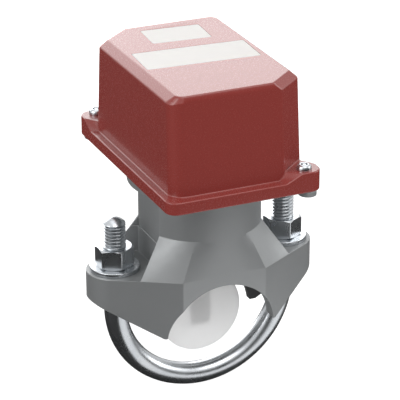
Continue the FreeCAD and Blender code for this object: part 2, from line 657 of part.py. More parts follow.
def vane_clamp():
    near = -VANE_THICKNESS / 2
    far = near - BLADE_THICKNESS
    high = VANE_CENTRE_Z + VANE_RADIUS - CLAMP_BELOW_RIM
    plate = block(-BLADE_HALF_WIDTH, BLADE_HALF_WIDTH, far, near, high - CLAMP_HEIGHT, high)
    return plate.cut(rivet_holes(far, near))


def vane_rivets():
    outer = VANE_THICKNESS / 2 + BLADE_THICKNESS
    rivets = []
    for x, z in rivet_points():
        shank = Part.makeCylinder(RIVET_RADIUS, 2 * outer, Vector(x, -outer, z), ALONG)
        back = Part.makeCone(RIVET_HEAD_RADIUS, RIVET_RADIUS, RIVET_HEAD_HEIGHT, Vector(x, outer, z), ALONG)
        front = Part.makeCone(RIVET_HEAD_RADIUS, RIVET_RADIUS, RIVET_HEAD_HEIGHT, Vector(x, -outer, z), -ALONG)
        rivets.append(joined([shank, back, front]))
    return Part.makeCompound(rivets)


def lever_pin_body(extra=0.0):
    """Cross pin through the stem's slot and the lever's foot."""
    height = STEM_TOP - LEVER_SLOT_DEPTH / 2
    return Part.makeCylinder(LEVER_PIN_RADIUS + extra, 2 * STEM_RADIUS, Vector(-STEM_RADIUS, 0, height), ACROSS)


def trip_lever():
    foot = STEM_TOP - LEVER_SLOT_DEPTH
    cam_low = CAM_Z - CAM_DEPTH
    outline = [(-LEVER_HALF_WIDTH, foot), (LEVER_HALF_WIDTH, foot), (LEVER_HALF_WIDTH, cam_low - CAM_NECK),
               (CAM_REACH, cam_low + CAM_DEPTH / 2), (CAM_REACH, CAM_Z + CAM_SLOPE * CAM_REACH),
               (-CAM_HEEL, CAM_Z - CAM_SLOPE * CAM_HEEL), (-CAM_HEEL, cam_low),
               (-LEVER_HALF_WIDTH, cam_low - CAM_NECK)]
    corners = [Vector(-LEVER_THICKNESS / 2, y, z) for y, z in outline]
    plate = Part.Face(Part.makePolygon(corners + corners[:1])).extrude(ACROSS * LEVER_THICKNESS)
    return plate.cut(lever_pin_body(RUN_CLEARANCE))


# Plunger, arm, clips and spring

def retard_plunger():
    foot = CAM_Z + FOOT_GAP
    shaft = rod(PLUNGER_RADIUS, 0, 0, foot + PLUNGER_RADIUS, PISTON_TOP)
    ball = Part.makeSphere(PLUNGER_RADIUS, Vector(0, 0, foot + PLUNGER_RADIUS))
    piston = rod(PISTON_RADIUS, 0, 0, PISTON_BOTTOM, PISTON_TOP)
    return joined([shaft, ball, piston])


def actuator_arm():
    bar = block(-ARM_HALF_LENGTH, ARM_HALF_LENGTH, ARM_FRONT_Y, ARM_BACK_Y, ARM_BOTTOM, ARM_TOP)
    waist_end = SWITCH_MID_X - ARM_PAD_HALF
    waist = [block(low, high, ARM_FRONT_Y, 0, ARM_BOTTOM, ARM_TOP)
             for low, high in ((ARM_HUB_HALF, waist_end), (-waist_end, -ARM_HUB_HALF))]
    return bar.cut(waist).cut(rod(PLUNGER_RADIUS + RUN_CLEARANCE, 0, 0, ARM_BOTTOM, ARM_TOP))


def arm_clips():
    clips = []
    for low in (ARM_BOTTOM - CLIP_THICKNESS, ARM_TOP):
        ring = rod(CLIP_RADIUS, 0, 0, low, low + CLIP_THICKNESS)
        clips.append(ring.cut(rod(PLUNGER_RADIUS + RUN_CLEARANCE, 0, 0, low, low + CLIP_THICKNESS)))
    return Part.makeCompound(clips)


def retard_spring():
    """Coil of half turns, each a tilted half ring that meets the next one end to end."""
    rise = (SPRING_LENGTH - 2 * SPRING_WIRE_RADIUS) / (2 * SPRING_TURNS)
    half_turns = []
    for number in range(2 * SPRING_TURNS):
        side = 1 if number % 2 == 0 else -1
        start = Vector(side * SPRING_COIL_RADIUS, 0, number * rise)
        chord = Vector(-2 * side * SPRING_COIL_RADIUS, 0, rise)
        axis = Vector(side * rise, 0, 2 * SPRING_COIL_RADIUS)
        wire_end = Part.Face(Part.Wire(Part.makeCircle(SPRING_WIRE_RADIUS, start, ALONG)))
        half_turns.append(wire_end.revolve(start + chord * 0.5, axis, 180))
    return placed(joined(half_turns), 0, 0, SPRING_BOTTOM + SPRING_WIRE_RADIUS)


# Retard cylinder, dial and bracket

def retard_housing():
    body = rod(RETARD_RADIUS, 0, 0, SHELF_TOP, RETARD_TOP)
    spindle = rod(PLUNGER_RADIUS + RUN_CLEARANCE, 0, 0, RETARD_TOP - DIAL_SPINDLE_DEPTH - MOVING_GAP, RETARD_TOP)
    cuts = [rod(PISTON_RADIUS + SEAT_GAP, 0, 0, SHELF_TOP + RETARD_FLOOR, RETARD_ROOM_TOP),
            rod(PLUNGER_RADIUS + RUN_CLEARANCE, 0, 0, SHELF_TOP, SHELF_TOP + RETARD_FLOOR), spindle]
    for side in (1, -1):
        cuts.append(rod(RETARD_SCREW_RADIUS + RUN_CLEARANCE, side * RETARD_SCREW_X, 0, SHELF_TOP,
                        SHELF_TOP + THREAD_DEPTH / 2))
    return body.cut(cuts)


def retard_screws():
    screw = slotted_screw(RETARD_SCREW_RADIUS, RETARD_SCREW_HEAD_RADIUS, M3_HEAD_HEIGHT,
                          SHEET_THICKNESS + THREAD_DEPTH / 2)
    return Part.makeCompound([placed(screw, side * RETARD_SCREW_X, 0, SHELF_BOTTOM, ACROSS, 180)
                              for side in (1, -1)])


def retard_dial():
    low = RETARD_TOP + SEAT_GAP
    knob = turned([(0, low), (DIAL_RADIUS, low), (DIAL_RADIUS, low + DIAL_HEIGHT - DIAL_CHAMFER),
                   (DIAL_RADIUS - DIAL_CHAMFER, low + DIAL_HEIGHT), (0, low + DIAL_HEIGHT)])
    spindle = rod(PLUNGER_RADIUS, 0, 0, RETARD_TOP - DIAL_SPINDLE_DEPTH, low)
    flutes = []
    for number in range(DIAL_FLUTES):
        angle = 2 * math.pi * number / DIAL_FLUTES
        flutes.append(rod(DIAL_FLUTE_RADIUS, DIAL_RADIUS * math.cos(angle), DIAL_RADIUS * math.sin(angle),
                          low, low + DIAL_HEIGHT))
    pointer = block(0, DIAL_RADIUS, -SLOT_WIDTH / 2, SLOT_WIDTH / 2, low + DIAL_HEIGHT - SLOT_DEPTH,
                    low + DIAL_HEIGHT)
    return joined([knob, spindle]).cut(flutes + [pointer])


def bracket_screw_y():
    return BRACKET_Y + SHEET_THICKNESS + BRACKET_FOOT_LENGTH / 2


def mechanism_bracket():
    back = BRACKET_Y + SHEET_THICKNESS
    waist_top = BASE_TOP + BRACKET_WAIST_HEIGHT
    inner = SWITCH_INNER_X
    pieces = [block(-BRACKET_WAIST, BRACKET_WAIST, BRACKET_Y, back, BASE_TOP, waist_top),
              block(-BRACKET_HALF_WIDTH, BRACKET_HALF_WIDTH, BRACKET_Y, back, waist_top, SHELF_TOP),
              block(-BRACKET_WAIST, BRACKET_WAIST, back, back + BRACKET_FOOT_LENGTH, BASE_TOP,
                    BASE_TOP + SHEET_THICKNESS),
              block(SHELF_SIDE_GAP - inner, inner - SHELF_SIDE_GAP, -RETARD_RADIUS, back,
                    SHELF_BOTTOM, SHELF_TOP)]
    for side in (1, -1):
        wing_low = min(side * inner, side * BRACKET_HALF_WIDTH)
        wing_high = max(side * inner, side * BRACKET_HALF_WIDTH)
        pieces.append(block(wing_low, wing_high, BRACKET_Y, back, SHELF_TOP, SWITCH_TOP))
    cuts = [rod(PLUNGER_RADIUS + SHELF_HOLE_CLEARANCE, 0, 0, SHELF_BOTTOM, SHELF_TOP)]
    for side in (1, -1):
        cuts.append(rod(RETARD_SCREW_RADIUS + RUN_CLEARANCE, side * RETARD_SCREW_X, 0, SHELF_BOTTOM, SHELF_TOP))
        cuts.append(rod(M3_RADIUS + RUN_CLEARANCE, side * BRACKET_SCREW_X, bracket_screw_y(), BASE_TOP,
                        BASE_TOP + SHEET_THICKNESS))
    for x, z in switch_screw_points():
        cuts.append(Part.makeCylinder(SWITCH_SCREW_RADIUS + RUN_CLEARANCE, SHEET_THICKNESS,
                                      Vector(x, BRACKET_Y, z), ALONG))
    return joined(pieces).cut(cuts)


def bracket_screws():
    screw = slotted_screw(M3_RADIUS, M3_HEAD_RADIUS, M3_HEAD_HEIGHT, SHEET_THICKNESS + BASE_THICKNESS)
    return Part.makeCompound([placed(screw, side * BRACKET_SCREW_X, bracket_screw_y(), BASE_TOP + SHEET_THICKNESS)
                              for side in (1, -1)])


# Snap switches

def switch_screw_points():
    height = SWITCH_BOTTOM + SWITCH_SCREW_HEIGHT
    return [(side * SWITCH_MID_X + step * SWITCH_SCREW_HALF_SPACING, height)
            for side in (1, -1) for step in (1, -1)]


def terminal_points(side):
    height = SWITCH_BOTTOM + TERMINAL_HEIGHT
    return [(side * SWITCH_MID_X + step * TERMINAL_SPACING, height) for step in (-1, 0, 1)]


def switch_body(side):
    half = SWITCH_LENGTH / 2
    middle = side * SWITCH_MID_X
    body = block(middle - half, middle + half, SWITCH_FRONT, BRACKET_Y, SWITCH_BOTTOM, SWITCH_TOP)
    button_y = (SWITCH_FRONT + BRACKET_Y) / 2
    cuts = [rod(BUTTON_RADIUS + RUN_CLEARANCE, middle, button_y, SWITCH_BOTTOM,
                SWITCH_BOTTOM + BUTTON_GUIDE_DEPTH + BUTTON_TRAVEL + MOVING_GAP)]
    for x, z in switch_screw_points():
        cuts.append(Part.makeCylinder(SWITCH_SCREW_RADIUS + RUN_CLEARANCE, SWITCH_DEPTH,
                                      Vector(x, SWITCH_FRONT, z), ALONG))
    for x, z in terminal_points(side):
        cuts.append(Part.makeCylinder(TERMINAL_RADIUS + RUN_CLEARANCE, TERMINAL_DEPTH + MOVING_GAP,
                                      Vector(x, SWITCH_FRONT, z), ALONG))
    return body.cut(cuts)


def switch_button(side):
    button_y = (SWITCH_FRONT + BRACKET_Y) / 2
    return rod(BUTTON_RADIUS, side * SWITCH_MID_X, button_y, BUTTON_BOTTOM,
               SWITCH_BOTTOM + BUTTON_GUIDE_DEPTH)


def switch_screws():
    screw = slotted_screw(SWITCH_SCREW_RADIUS, SWITCH_SCREW_HEAD_RADIUS, M3_HEAD_HEIGHT,
                          SWITCH_DEPTH + SHEET_THICKNESS)
    return Part.makeCompound([placed(screw, x, SWITCH_FRONT, z, ACROSS, 90) for x, z in switch_screw_points()])


def terminal_screws():
    screw = slotted_screw(TERMINAL_RADIUS, TERMINAL_HEAD_RADIUS, M3_HEAD_HEIGHT, TERMINAL_DEPTH)
    return Part.makeCompound([placed(screw, x, SWITCH_FRONT, z, ACROSS, 90)
                              for side in (1, -1) for x, z in terminal_points(side)])


# Base plate, cover seal and cover

def base_screw_radius():
    """Pitch radius midway through the wall of the pan."""
    return (PAN_RADIUS + NECK_CAVITY_RADIUS) / 2


def rounded_plan(half_x, half_y, radius, low, high):
    """Rectangular plate on the housing's centre with four rounded upright corners."""
    plate = block(HOUSING_X - half_x, HOUSING_X + half_x, HOUSING_Y - half_y, HOUSING_Y + half_y, low, high)
    upright = [edge for edge in plate.Edges
               if abs(edge.Vertexes[0].Z - edge.Vertexes[-1].Z) > (high - low) / 2]
    return plate.makeFillet(radius, upright)


def corner_screw_places():
    """Places of the two cover screws, at the front right and the back left corner."""
    return [(HOUSING_X + side * COVER_SCREW_X, HOUSING_Y - side * COVER_SCREW_Y) for side in (1, -1)]


def conduit_places():
    """Places of the two conduit entrances, at the other two corners."""
    return [(HOUSING_X + side * CONDUIT_X, HOUSING_Y + side * CONDUIT_Y) for side in (1, -1)]


def body_section(half_x, half_y, cut_x, cut_y, radius, height):
    """Plan of the cover's body: two rounded corners and two cut off at a slant."""

    def at(x, y):
        return Vector(HOUSING_X + x, HOUSING_Y + y, height)

    shift = radius * (1 - math.sqrt(0.5))
    edges = []
    for side in (1, -1):
        start = at(-side * half_x, side * (radius - half_y))
        middle = at(side * (shift - half_x), side * (shift - half_y))
        end = at(side * (radius - half_x), -side * half_y)
        slant_start = at(side * (half_x - cut_x), -side * half_y)
        slant_end = at(side * half_x, side * (cut_y - half_y))
        next_start = at(side * half_x, side * (half_y - radius))
        edges.append(Part.Arc(start, middle, end).toShape())
        edges.append(Part.makeLine(end, slant_start))
        edges.append(Part.makeLine(slant_start, slant_end))
        edges.append(Part.makeLine(slant_end, next_start))
    return Part.Wire(edges)


def inner_section(half_x, half_y, cut_x, cut_y, radius, wall, height):
    """The same plan one wall thickness further in, with the slant moved square to itself."""
    slant = math.hypot(cut_x, cut_y)
    inner_cut_x = cut_x - wall * (cut_x + cut_y - slant) / cut_y
    inner_cut_y = cut_y - wall * (cut_x + cut_y - slant) / cut_x
    return body_section(half_x - wall, half_y - wall, inner_cut_x, inner_cut_y, radius - wall / 2, height)


def cover_room():
    """Space inside the cover above its ledge."""
    roof = COVER_TOP - COVER_WALL
    foot = inner_section(BODY_FOOT_HALF_X, BODY_FOOT_HALF_Y, CORNER_CUT_X, CORNER_CUT_Y, BODY_CORNER,
                         COVER_WALL, LEDGE_Z)
    head = inner_section(BODY_HEAD_HALF_X, BODY_HEAD_HALF_Y, CORNER_CUT_X, CORNER_CUT_Y, BODY_CORNER,
                         COVER_WALL, WALL_TOP - COVER_WALL / 2)
    top = inner_section(TOP_HALF_X, TOP_HALF_Y, CORNER_CUT_X, CORNER_CUT_Y, TOP_CORNER,
                        COVER_WALL / 2, roof)
    return Part.makeLoft([foot, head, top], True, True)


def cover_body():
    foot = body_section(BODY_FOOT_HALF_X, BODY_FOOT_HALF_Y, CORNER_CUT_X, CORNER_CUT_Y, BODY_CORNER, LEDGE_Z)
    head = body_section(BODY_HEAD_HALF_X, BODY_HEAD_HALF_Y, CORNER_CUT_X, CORNER_CUT_Y, BODY_CORNER, WALL_TOP)
    top = body_section(TOP_HALF_X, TOP_HALF_Y, CORNER_CUT_X, CORNER_CUT_Y, TOP_CORNER, COVER_TOP)
    return Part.makeLoft([foot, head, top], True, True)


def screw_pad():
    """Raised pad for the cover screw at the front right corner, ramped down to the flange both ways."""
    x_high = HOUSING_X + FLANGE_HALF_X
    y_low = HOUSING_Y - FLANGE_HALF_Y
    body_x = HOUSING_X + BODY_FOOT_HALF_X
    body_y = HOUSING_Y - BODY_FOOT_HALF_Y
    root = COVER_WALL / 2

    def outline(ramp, ramp_at_body, height):
        points = [(x_high - PAD_X - ramp, y_low), (x_high, y_low), (x_high, y_low + PAD_Y + ramp),
                  (body_x - root, body_y + CORNER_CUT_Y + ramp_at_body),
                  (body_x - CORNER_CUT_X - ramp_at_body, body_y + root)]
        corners = [Vector(x, y, height) for x, y in points]
        return Part.makePolygon(corners + corners[:1])

    pad = Part.makeLoft([outline(PAD_RAMP, PAD_RAMP_AT_BODY, FLANGE_TOP), outline(0, 0, PAD_TOP)], True, True)
    return pad.common(rounded_plan(FLANGE_HALF_X, FLANGE_HALF_Y, FLANGE_CORNER, FLANGE_TOP, PAD_TOP))


def cover():
    flange = rounded_plan(FLANGE_HALF_X, FLANGE_HALF_Y, FLANGE_CORNER, PAN_TOP, FLANGE_TOP)
    pad = screw_pad()
    other_pad = pad.copy()
    other_pad.rotate(Vector(HOUSING_X, HOUSING_Y, 0), UP, 180)
    body = joined([flange, cover_body(), pad, other_pad])
    skirt_room = rounded_plan(FLANGE_HALF_X - SKIRT_WALL, FLANGE_HALF_Y - SKIRT_WALL,
                              FLANGE_CORNER - SKIRT_WALL, PAN_TOP, LEDGE_Z)
    cuts = [skirt_room, cover_room()]
    for x, y in corner_screw_places():
        cuts.append(rod(M4_RADIUS + 2 * SEAT_GAP, x, y, LEDGE_Z - CUT_OVERRUN, PAD_TOP))
    return body.cut(cuts)


def cover_seal():
    inset = SKIRT_WALL + MOVING_GAP
    strip = rounded_plan(FLANGE_HALF_X - inset, FLANGE_HALF_Y - inset, FLANGE_CORNER - SKIRT_WALL,
                         BASE_TOP, LEDGE_Z)
    inner = inner_section(BODY_FOOT_HALF_X, BODY_FOOT_HALF_Y, CORNER_CUT_X, CORNER_CUT_Y, BODY_CORNER,
                          COVER_WALL, BASE_TOP)
    cuts = [Part.Face(inner).extrude(UP * COVER_SEAL_THICKNESS)]
    for x, y in corner_screw_places():
        cuts.append(rod(M4_RADIUS + 2 * SEAT_GAP, x, y, BASE_TOP, LEDGE_Z))
    return strip.cut(cuts)


def cover_screw(place):
    """Button head screw with a round socket and a pin in its middle."""
    x, y = place
    radius = COVER_SCREW_HEAD_RADIUS
    top = PAD_TOP + COVER_SCREW_HEAD_HEIGHT
    floor = top - COVER_SOCKET_DEPTH
    half_rise = (COVER_SCREW_RIM_HEIGHT + COVER_SCREW_HEAD_HEIGHT) / 2
    shoulder = (radius + COVER_SCREW_CROWN_RADIUS) / 2 + MOVING_GAP
    head = turned([(0, PAD_TOP), (radius, PAD_TOP), (radius, PAD_TOP + COVER_SCREW_RIM_HEIGHT),
                   (shoulder, PAD_TOP + half_rise + MOVING_GAP), (COVER_SCREW_CROWN_RADIUS, top),
                   (COVER_SOCKET_RADIUS, top), (COVER_SOCKET_RADIUS, floor),
                   (COVER_SOCKET_PIN_RADIUS, floor), (COVER_SOCKET_PIN_RADIUS, top - SEAT_GAP),
                   (0, top - SEAT_GAP)])
    shank = rod(M4_RADIUS, 0, 0, PAN_TOP - SCREW_BOSS_DEPTH + COVER_SCREW_SHORTNESS, PAD_TOP)
    return placed(joined([head, shank]), x, y, 0)


def base_plate():
    inset = SKIRT_WALL + SEAT_GAP
    plate = rounded_plan(FLANGE_HALF_X - inset, FLANGE_HALF_Y - inset, FLANGE_CORNER - SKIRT_WALL,
                         PAN_TOP, BASE_TOP)
    bosses = [rod(SCREW_BOSS_RADIUS, x + side * SCREW_BOSS_OUT_X, y - side * SCREW_BOSS_OUT_Y,
                  PAN_TOP - SCREW_BOSS_DEPTH, PAN_TOP)
              for side, (x, y) in zip((1, -1), corner_screw_places())]
    cuts = [rod(BASE_OPENING_RADIUS, 0, 0, PAN_TOP, BASE_TOP)]
    for x, y in conduit_places():
        cuts.append(rod(CONDUIT_RADIUS, x, y, PAN_TOP, BASE_TOP))
    for x, y in corner_screw_places():
        cuts.append(rod(M4_RADIUS + RUN_CLEARANCE, x, y, PAN_TOP - SCREW_BOSS_DEPTH, BASE_TOP))
    for x, y in four_ways(base_screw_radius()):
        cuts.append(rod(M4_RADIUS + RUN_CLEARANCE, x, y, PAN_TOP, BASE_TOP))
    for side in (1, -1):
        cuts.append(rod(M3_RADIUS + RUN_CLEARANCE, side * BRACKET_SCREW_X, bracket_screw_y(), PAN_TOP, BASE_TOP))
    cuts.append(rod(M3_RADIUS + RUN_CLEARANCE, HOUSING_X + EARTH_SCREW_X, HOUSING_Y + EARTH_SCREW_Y,
                    PAN_TOP, BASE_TOP))
    return joined([plate] + bosses).cut(cuts)


def base_plate_screws():
    screw = slotted_screw(M4_RADIUS, M4_HEAD_RADIUS, M4_HEAD_HEIGHT, BASE_THICKNESS + THREAD_DEPTH - MOVING_GAP)
    return Part.makeCompound([placed(screw, x, y, BASE_TOP) for x, y in four_ways(base_screw_radius())])


def retainer_screws():
    length = RETAINER_THICKNESS + SEAL_FLANGE_THICKNESS + THREAD_DEPTH - MOVING_GAP
    screw = slotted_screw(M3_RADIUS, M3_HEAD_RADIUS, M3_HEAD_HEIGHT, length)
    return Part.makeCompound([placed(screw, x, y, RETAINER_TOP) for x, y in four_ways(RETAINER_SCREW_RADIUS)])


def earth_screw():
    screw = slotted_screw(M3_RADIUS, M4_HEAD_RADIUS, M3_HEAD_HEIGHT, BASE_THICKNESS)
    return placed(screw, HOUSING_X + EARTH_SCREW_X, HOUSING_Y + EARTH_SCREW_Y, BASE_TOP)


def main():
    os.makedirs("parts", exist_ok=True)
    front_corner, rear_corner = corner_screw_places()
    whole_casting = casting()
    parts = {
        "saddle_casting": saddle_casting(whole_casting),
        "neck_casting": neck_casting(whole_casting),
        "saddle_gasket": saddle_gasket(),
        "u_bolt": u_bolt(),
        "washer_left": washer(-1),
        "washer_right": washer(1),
        "nut_left": hex_nut(-1),
        "nut_right": hex_nut(1),
        "stem_seal": stem_seal(),
        "seal_retainer": seal_retainer(),
        "retainer_screws": retainer_screws(),
        "pivot_pin": pivot_pin(),
        "vane_disc": vane_disc(),
        "vane_stem": vane_stem(),
        "vane_clamp": vane_clamp(),
        "vane_rivets": vane_rivets(),
        "trip_lever": trip_lever(),
        "lever_pin": lever_pin_body(),
        "retard_plunger": retard_plunger(),
        "actuator_arm": actuator_arm(),
        "arm_clips": arm_clips(),
        "retard_spring": retard_spring(),
        "retard_housing": retard_housing(),
        "retard_screws": retard_screws(),
        "retard_dial": retard_dial(),
        "mechanism_bracket": mechanism_bracket(),
        "bracket_screws": bracket_screws(),
        "switch_body_left": switch_body(-1),
        "switch_body_right": switch_body(1),
        "switch_button_left": switch_button(-1),
        "switch_button_right": switch_button(1),
        "switch_screws": switch_screws(),
        "terminal_screws": terminal_screws(),
        "base_plate": base_plate(),
        "base_plate_screws": base_plate_screws(),
        "earth_screw": earth_screw(),
        "cover_seal": cover_seal(),
        "cover": cover(),
        "cover_screw_front": cover_screw(front_corner),
        "cover_screw_rear": cover_screw(rear_corner),
    }
    for name, shape in parts.items():
        save(name, shape)
        print(name, "solids", len(shape.Solids), "volume", round(shape.Volume, 1), "valid", shape.isValid())
    print("pivot height", round(PIVOT_Z, 3), "plunger rise", round(PLUNGER_RISE, 4),
          "shelf underside", round(SHELF_BOTTOM, 3))


main()
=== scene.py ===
import json
import math

import bpy
from mathutils import Matrix, Vector


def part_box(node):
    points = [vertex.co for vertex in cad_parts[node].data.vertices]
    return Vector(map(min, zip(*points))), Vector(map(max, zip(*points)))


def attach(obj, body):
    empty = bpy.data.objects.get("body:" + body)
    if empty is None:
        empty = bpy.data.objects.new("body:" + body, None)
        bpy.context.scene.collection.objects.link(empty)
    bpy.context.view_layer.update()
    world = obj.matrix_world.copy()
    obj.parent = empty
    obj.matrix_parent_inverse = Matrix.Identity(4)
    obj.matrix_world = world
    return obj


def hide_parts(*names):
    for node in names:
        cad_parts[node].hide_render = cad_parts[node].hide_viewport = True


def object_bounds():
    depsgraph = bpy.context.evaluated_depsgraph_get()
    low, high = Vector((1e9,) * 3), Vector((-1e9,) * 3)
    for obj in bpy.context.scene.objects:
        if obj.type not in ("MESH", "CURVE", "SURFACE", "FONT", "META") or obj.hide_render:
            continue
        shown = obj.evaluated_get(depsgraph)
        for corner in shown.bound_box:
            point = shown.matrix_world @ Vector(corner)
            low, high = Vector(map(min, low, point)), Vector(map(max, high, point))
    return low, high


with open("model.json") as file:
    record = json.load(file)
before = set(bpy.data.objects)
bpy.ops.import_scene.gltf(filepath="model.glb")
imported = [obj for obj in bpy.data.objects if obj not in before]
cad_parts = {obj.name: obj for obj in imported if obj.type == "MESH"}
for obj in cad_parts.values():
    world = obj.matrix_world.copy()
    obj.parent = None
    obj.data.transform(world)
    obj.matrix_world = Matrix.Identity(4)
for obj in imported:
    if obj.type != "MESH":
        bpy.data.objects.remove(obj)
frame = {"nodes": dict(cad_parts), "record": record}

bl_info = {
    "name": "Water flow detector",
    "version": (1, 0, 0),
    "blender": (4, 5, 0),
    "location": "3D View > Sidebar > Detector",
    "description": "Dresses the water flow detector's parts and sets its studio",
    "category": "Object",
}

MM = 0.001
WELD = 0.001 * MM
CAD_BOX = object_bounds()

# Places taken from the fixed frame
COVER_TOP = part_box("cover")[1].z
ROD_LOW, ROD_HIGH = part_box("u_bolt")
WASHER_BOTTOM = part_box("washer_right")[0].z
CASTING_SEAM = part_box("neck_casting")[0].z
ROD_RADIUS = (ROD_HIGH.y - ROD_LOW.y) / 2
STUD_X = ROD_HIGH.x - ROD_RADIUS
BEND_CENTRE_Z = ROD_LOW.z + STUD_X + ROD_RADIUS


class DetectorSizes(bpy.types.PropertyGroup):
    """Sizes of the details that are added to the parts."""
    cover_edge: bpy.props.FloatProperty(
        name="Cover edge", description="Rounding of the pressed cover's edges",
        default=0.7 * MM, unit="LENGTH")
    casting_edge: bpy.props.FloatProperty(
        name="Casting edge", description="Rounding of the sand cast body's edges",
        default=0.5 * MM, unit="LENGTH")
    thread_pitch: bpy.props.FloatProperty(
        name="Thread pitch", description="Rise of the stud's thread in one turn",
        default=1.954 * MM, unit="LENGTH")
    thread_depth: bpy.props.FloatProperty(
        name="Thread depth", description="Height of the stud's thread", default=1.1 * MM, unit="LENGTH")
    stud_tip: bpy.props.FloatProperty(
        name="Stud tip", description="Height of the domed end of each stud", default=3.2 * MM, unit="LENGTH")
    plate_thickness: bpy.props.FloatProperty(
        name="Plate thickness", description="Thickness of the blank plates", default=0.4 * MM, unit="LENGTH")
    plate_gap: bpy.props.FloatProperty(
        name="Plate gap", description="Gap round each blank plate in its seat",
        default=0.15 * MM, unit="LENGTH")
    plate_sink: bpy.props.FloatProperty(
        name="Plate sink", description="Depth of each plate's face below the cover's top", default=0.02 * MM,
        unit="LENGTH")
    plate_edge: bpy.props.FloatProperty(
        name="Plate edge", description="Rounding of each plate's rim", default=0.08 * MM, unit="LENGTH")
    screw_edge: bpy.props.FloatProperty(
        name="Screw edge", description="Rounding of the cover screws' edges", default=0.12 * MM,
        unit="LENGTH")
    washer_edge: bpy.props.FloatProperty(
        name="Washer edge", description="Rounding of the stamped washers' rims", default=0.4 * MM,
        unit="LENGTH")
    edge: bpy.props.FloatProperty(
        name="Broken edge", description="Rounding of turned and sawn edges", default=0.25 * MM, unit="LENGTH")
    vane_edge: bpy.props.FloatProperty(
        name="Vane edge", description="Rounding of the vane's rim", default=0.45 * MM, unit="LENGTH")


class DetectorColours(bpy.types.PropertyGroup):
    """Colours of the finishes, as sRGB hex values."""
    enamel: bpy.props.StringProperty(
        name="Enamel", description="Baked enamel of the cover", default="#8E3832")
    enamel_deep: bpy.props.StringProperty(
        name="Enamel, deep", description="Thicker enamel", default="#86342F")
    casting: bpy.props.StringProperty(
        name="Casting", description="Light patches of the casting", default="#969899")
    casting_dark: bpy.props.StringProperty(
        name="Casting, dark", description="Dull patches", default="#909293")
    zinc: bpy.props.StringProperty(
        name="Zinc", description="Bright zinc plate", default="#C9CCCF")
    zinc_cloud: bpy.props.StringProperty(
        name="Zinc, clouded", description="Faint clouds in the plate", default="#BCC0C4")
    zinc_dull: bpy.props.StringProperty(
        name="Zinc, dull", description="Passivated zinc", default="#A9ADB0")
    steel: bpy.props.StringProperty(
        name="Steel", description="Turned stainless steel", default="#B4B4B2")
    brass: bpy.props.StringProperty(
        name="Brass", description="Plain brass", default="#C9A24F")
    rubber: bpy.props.StringProperty(
        name="Rubber", description="Moulded rubber", default="#232325")
    phenolic: bpy.props.StringProperty(
        name="Phenolic", description="Black moulding", default="#1B1B1D")
    brass_dull: bpy.props.StringProperty(
        name="Brass, dull", description="Faintly tarnished brass", default="#B08B42")
    nylon_shade: bpy.props.StringProperty(
        name="Nylon, mottle", description="Faint mottle of the white moulding", default="#D3D2CA")
    vane_shade: bpy.props.StringProperty(
        name="Vane, mottle", description="Faint mottle of the vane", default="#F7F7F7")
    nylon: bpy.props.StringProperty(
        name="Nylon", description="White moulding", default="#DEDDD6")
    vane: bpy.props.StringProperty(
        name="Vane", description="Milky sheet plastic", default="#F8F8F8")
    plate: bpy.props.StringProperty(
        name="Plate", description="Printed film of the plates", default="#DFDDDA")
    plate_shade: bpy.props.StringProperty(
        name="Plate, mottle", description="Faint mottle of the plates' film", default="#DCDAD7")
    floor: bpy.props.StringProperty(
        name="Floor", description="Studio floor", default="#DADADA")
    card: bpy.props.StringProperty(
        name="Card", description="Dark cards on the studio's floor", default="#3A3A3A")


class DetectorCamera(bpy.types.PropertyGroup):
    """Place of the camera, as solved from the photograph."""
    yaw: bpy.props.FloatProperty(
        name="Yaw", description="Turn of the view to the object's left",
        default=math.radians(23.69), unit="ROTATION")
    elevation: bpy.props.FloatProperty(
        name="Elevation", description="Height angle of the view",
        default=math.radians(23.53), unit="ROTATION")
    roll: bpy.props.FloatProperty(
        name="Roll", description="Tilt of the picture", default=math.radians(-0.13), unit="ROTATION")
    distance: bpy.props.FloatProperty(
        name="Distance", description="From the aim point to the lens", default=1172.27 * MM, unit="LENGTH")
    aim: bpy.props.FloatVectorProperty(
        name="Aim", description="Point that the picture's centre looks at",
        default=(-4.83 * MM, -11.67 * MM, 75.29 * MM), unit="LENGTH")
    lens: bpy.props.FloatProperty(
        name="Lens", description="Focal length in millimetres on a 36 mm sensor", default=193.76)


# Selection and modelling helpers

def select_only(*pieces):
    """Leaves just these objects selected, the first of them active."""
    bpy.ops.object.select_all(action="DESELECT")
    for piece in pieces:
        piece.select_set(True)
    bpy.context.view_layer.objects.active = pieces[0]


def named(name):
    """The object that an operator has just added, given its name."""
    piece = bpy.context.object
    piece.name = name
    piece.data.name = name
    return piece


def edit(piece):
    """Enters edit mode on one piece with everything selected."""
    select_only(piece)
    bpy.ops.object.mode_set(mode="EDIT")
    bpy.ops.mesh.select_all(action="SELECT")


def leave_edit():
    bpy.ops.object.mode_set(mode="OBJECT")


def pick(piece, kind, test):
    """Selects a piece's edges, by middle and direction, or vertices, by place and normal, in edit mode."""
    bpy.ops.mesh.select_all(action="DESELECT")
    bpy.ops.mesh.select_mode(type=kind)
    bpy.ops.object.mode_set(mode="OBJECT")
    mesh = piece.data
    if kind == "EDGE":
        for line in mesh.edges:
            start, end = (mesh.vertices[v].co for v in line.vertices)
            line.select = test((start + end) / 2, (end - start).normalized())
    else:
        for vertex in mesh.vertices:
            vertex.select = test(vertex.co, vertex.normal)
    bpy.ops.object.mode_set(mode="EDIT")


def settle(piece):
    """Moves a piece's place, turn and scale into its mesh."""
    select_only(piece)
    bpy.ops.object.transform_apply(location=True, rotation=True, scale=True)


def modify(piece, kind, **settings):
    """Adds one modifier with its settings and applies it."""
    select_only(piece)
    modifier = piece.modifiers.new(kind.lower(), kind)
    for name, value in settings.items():
        setattr(modifier, name, value)
    bpy.ops.object.modifier_apply(modifier=modifier.name)


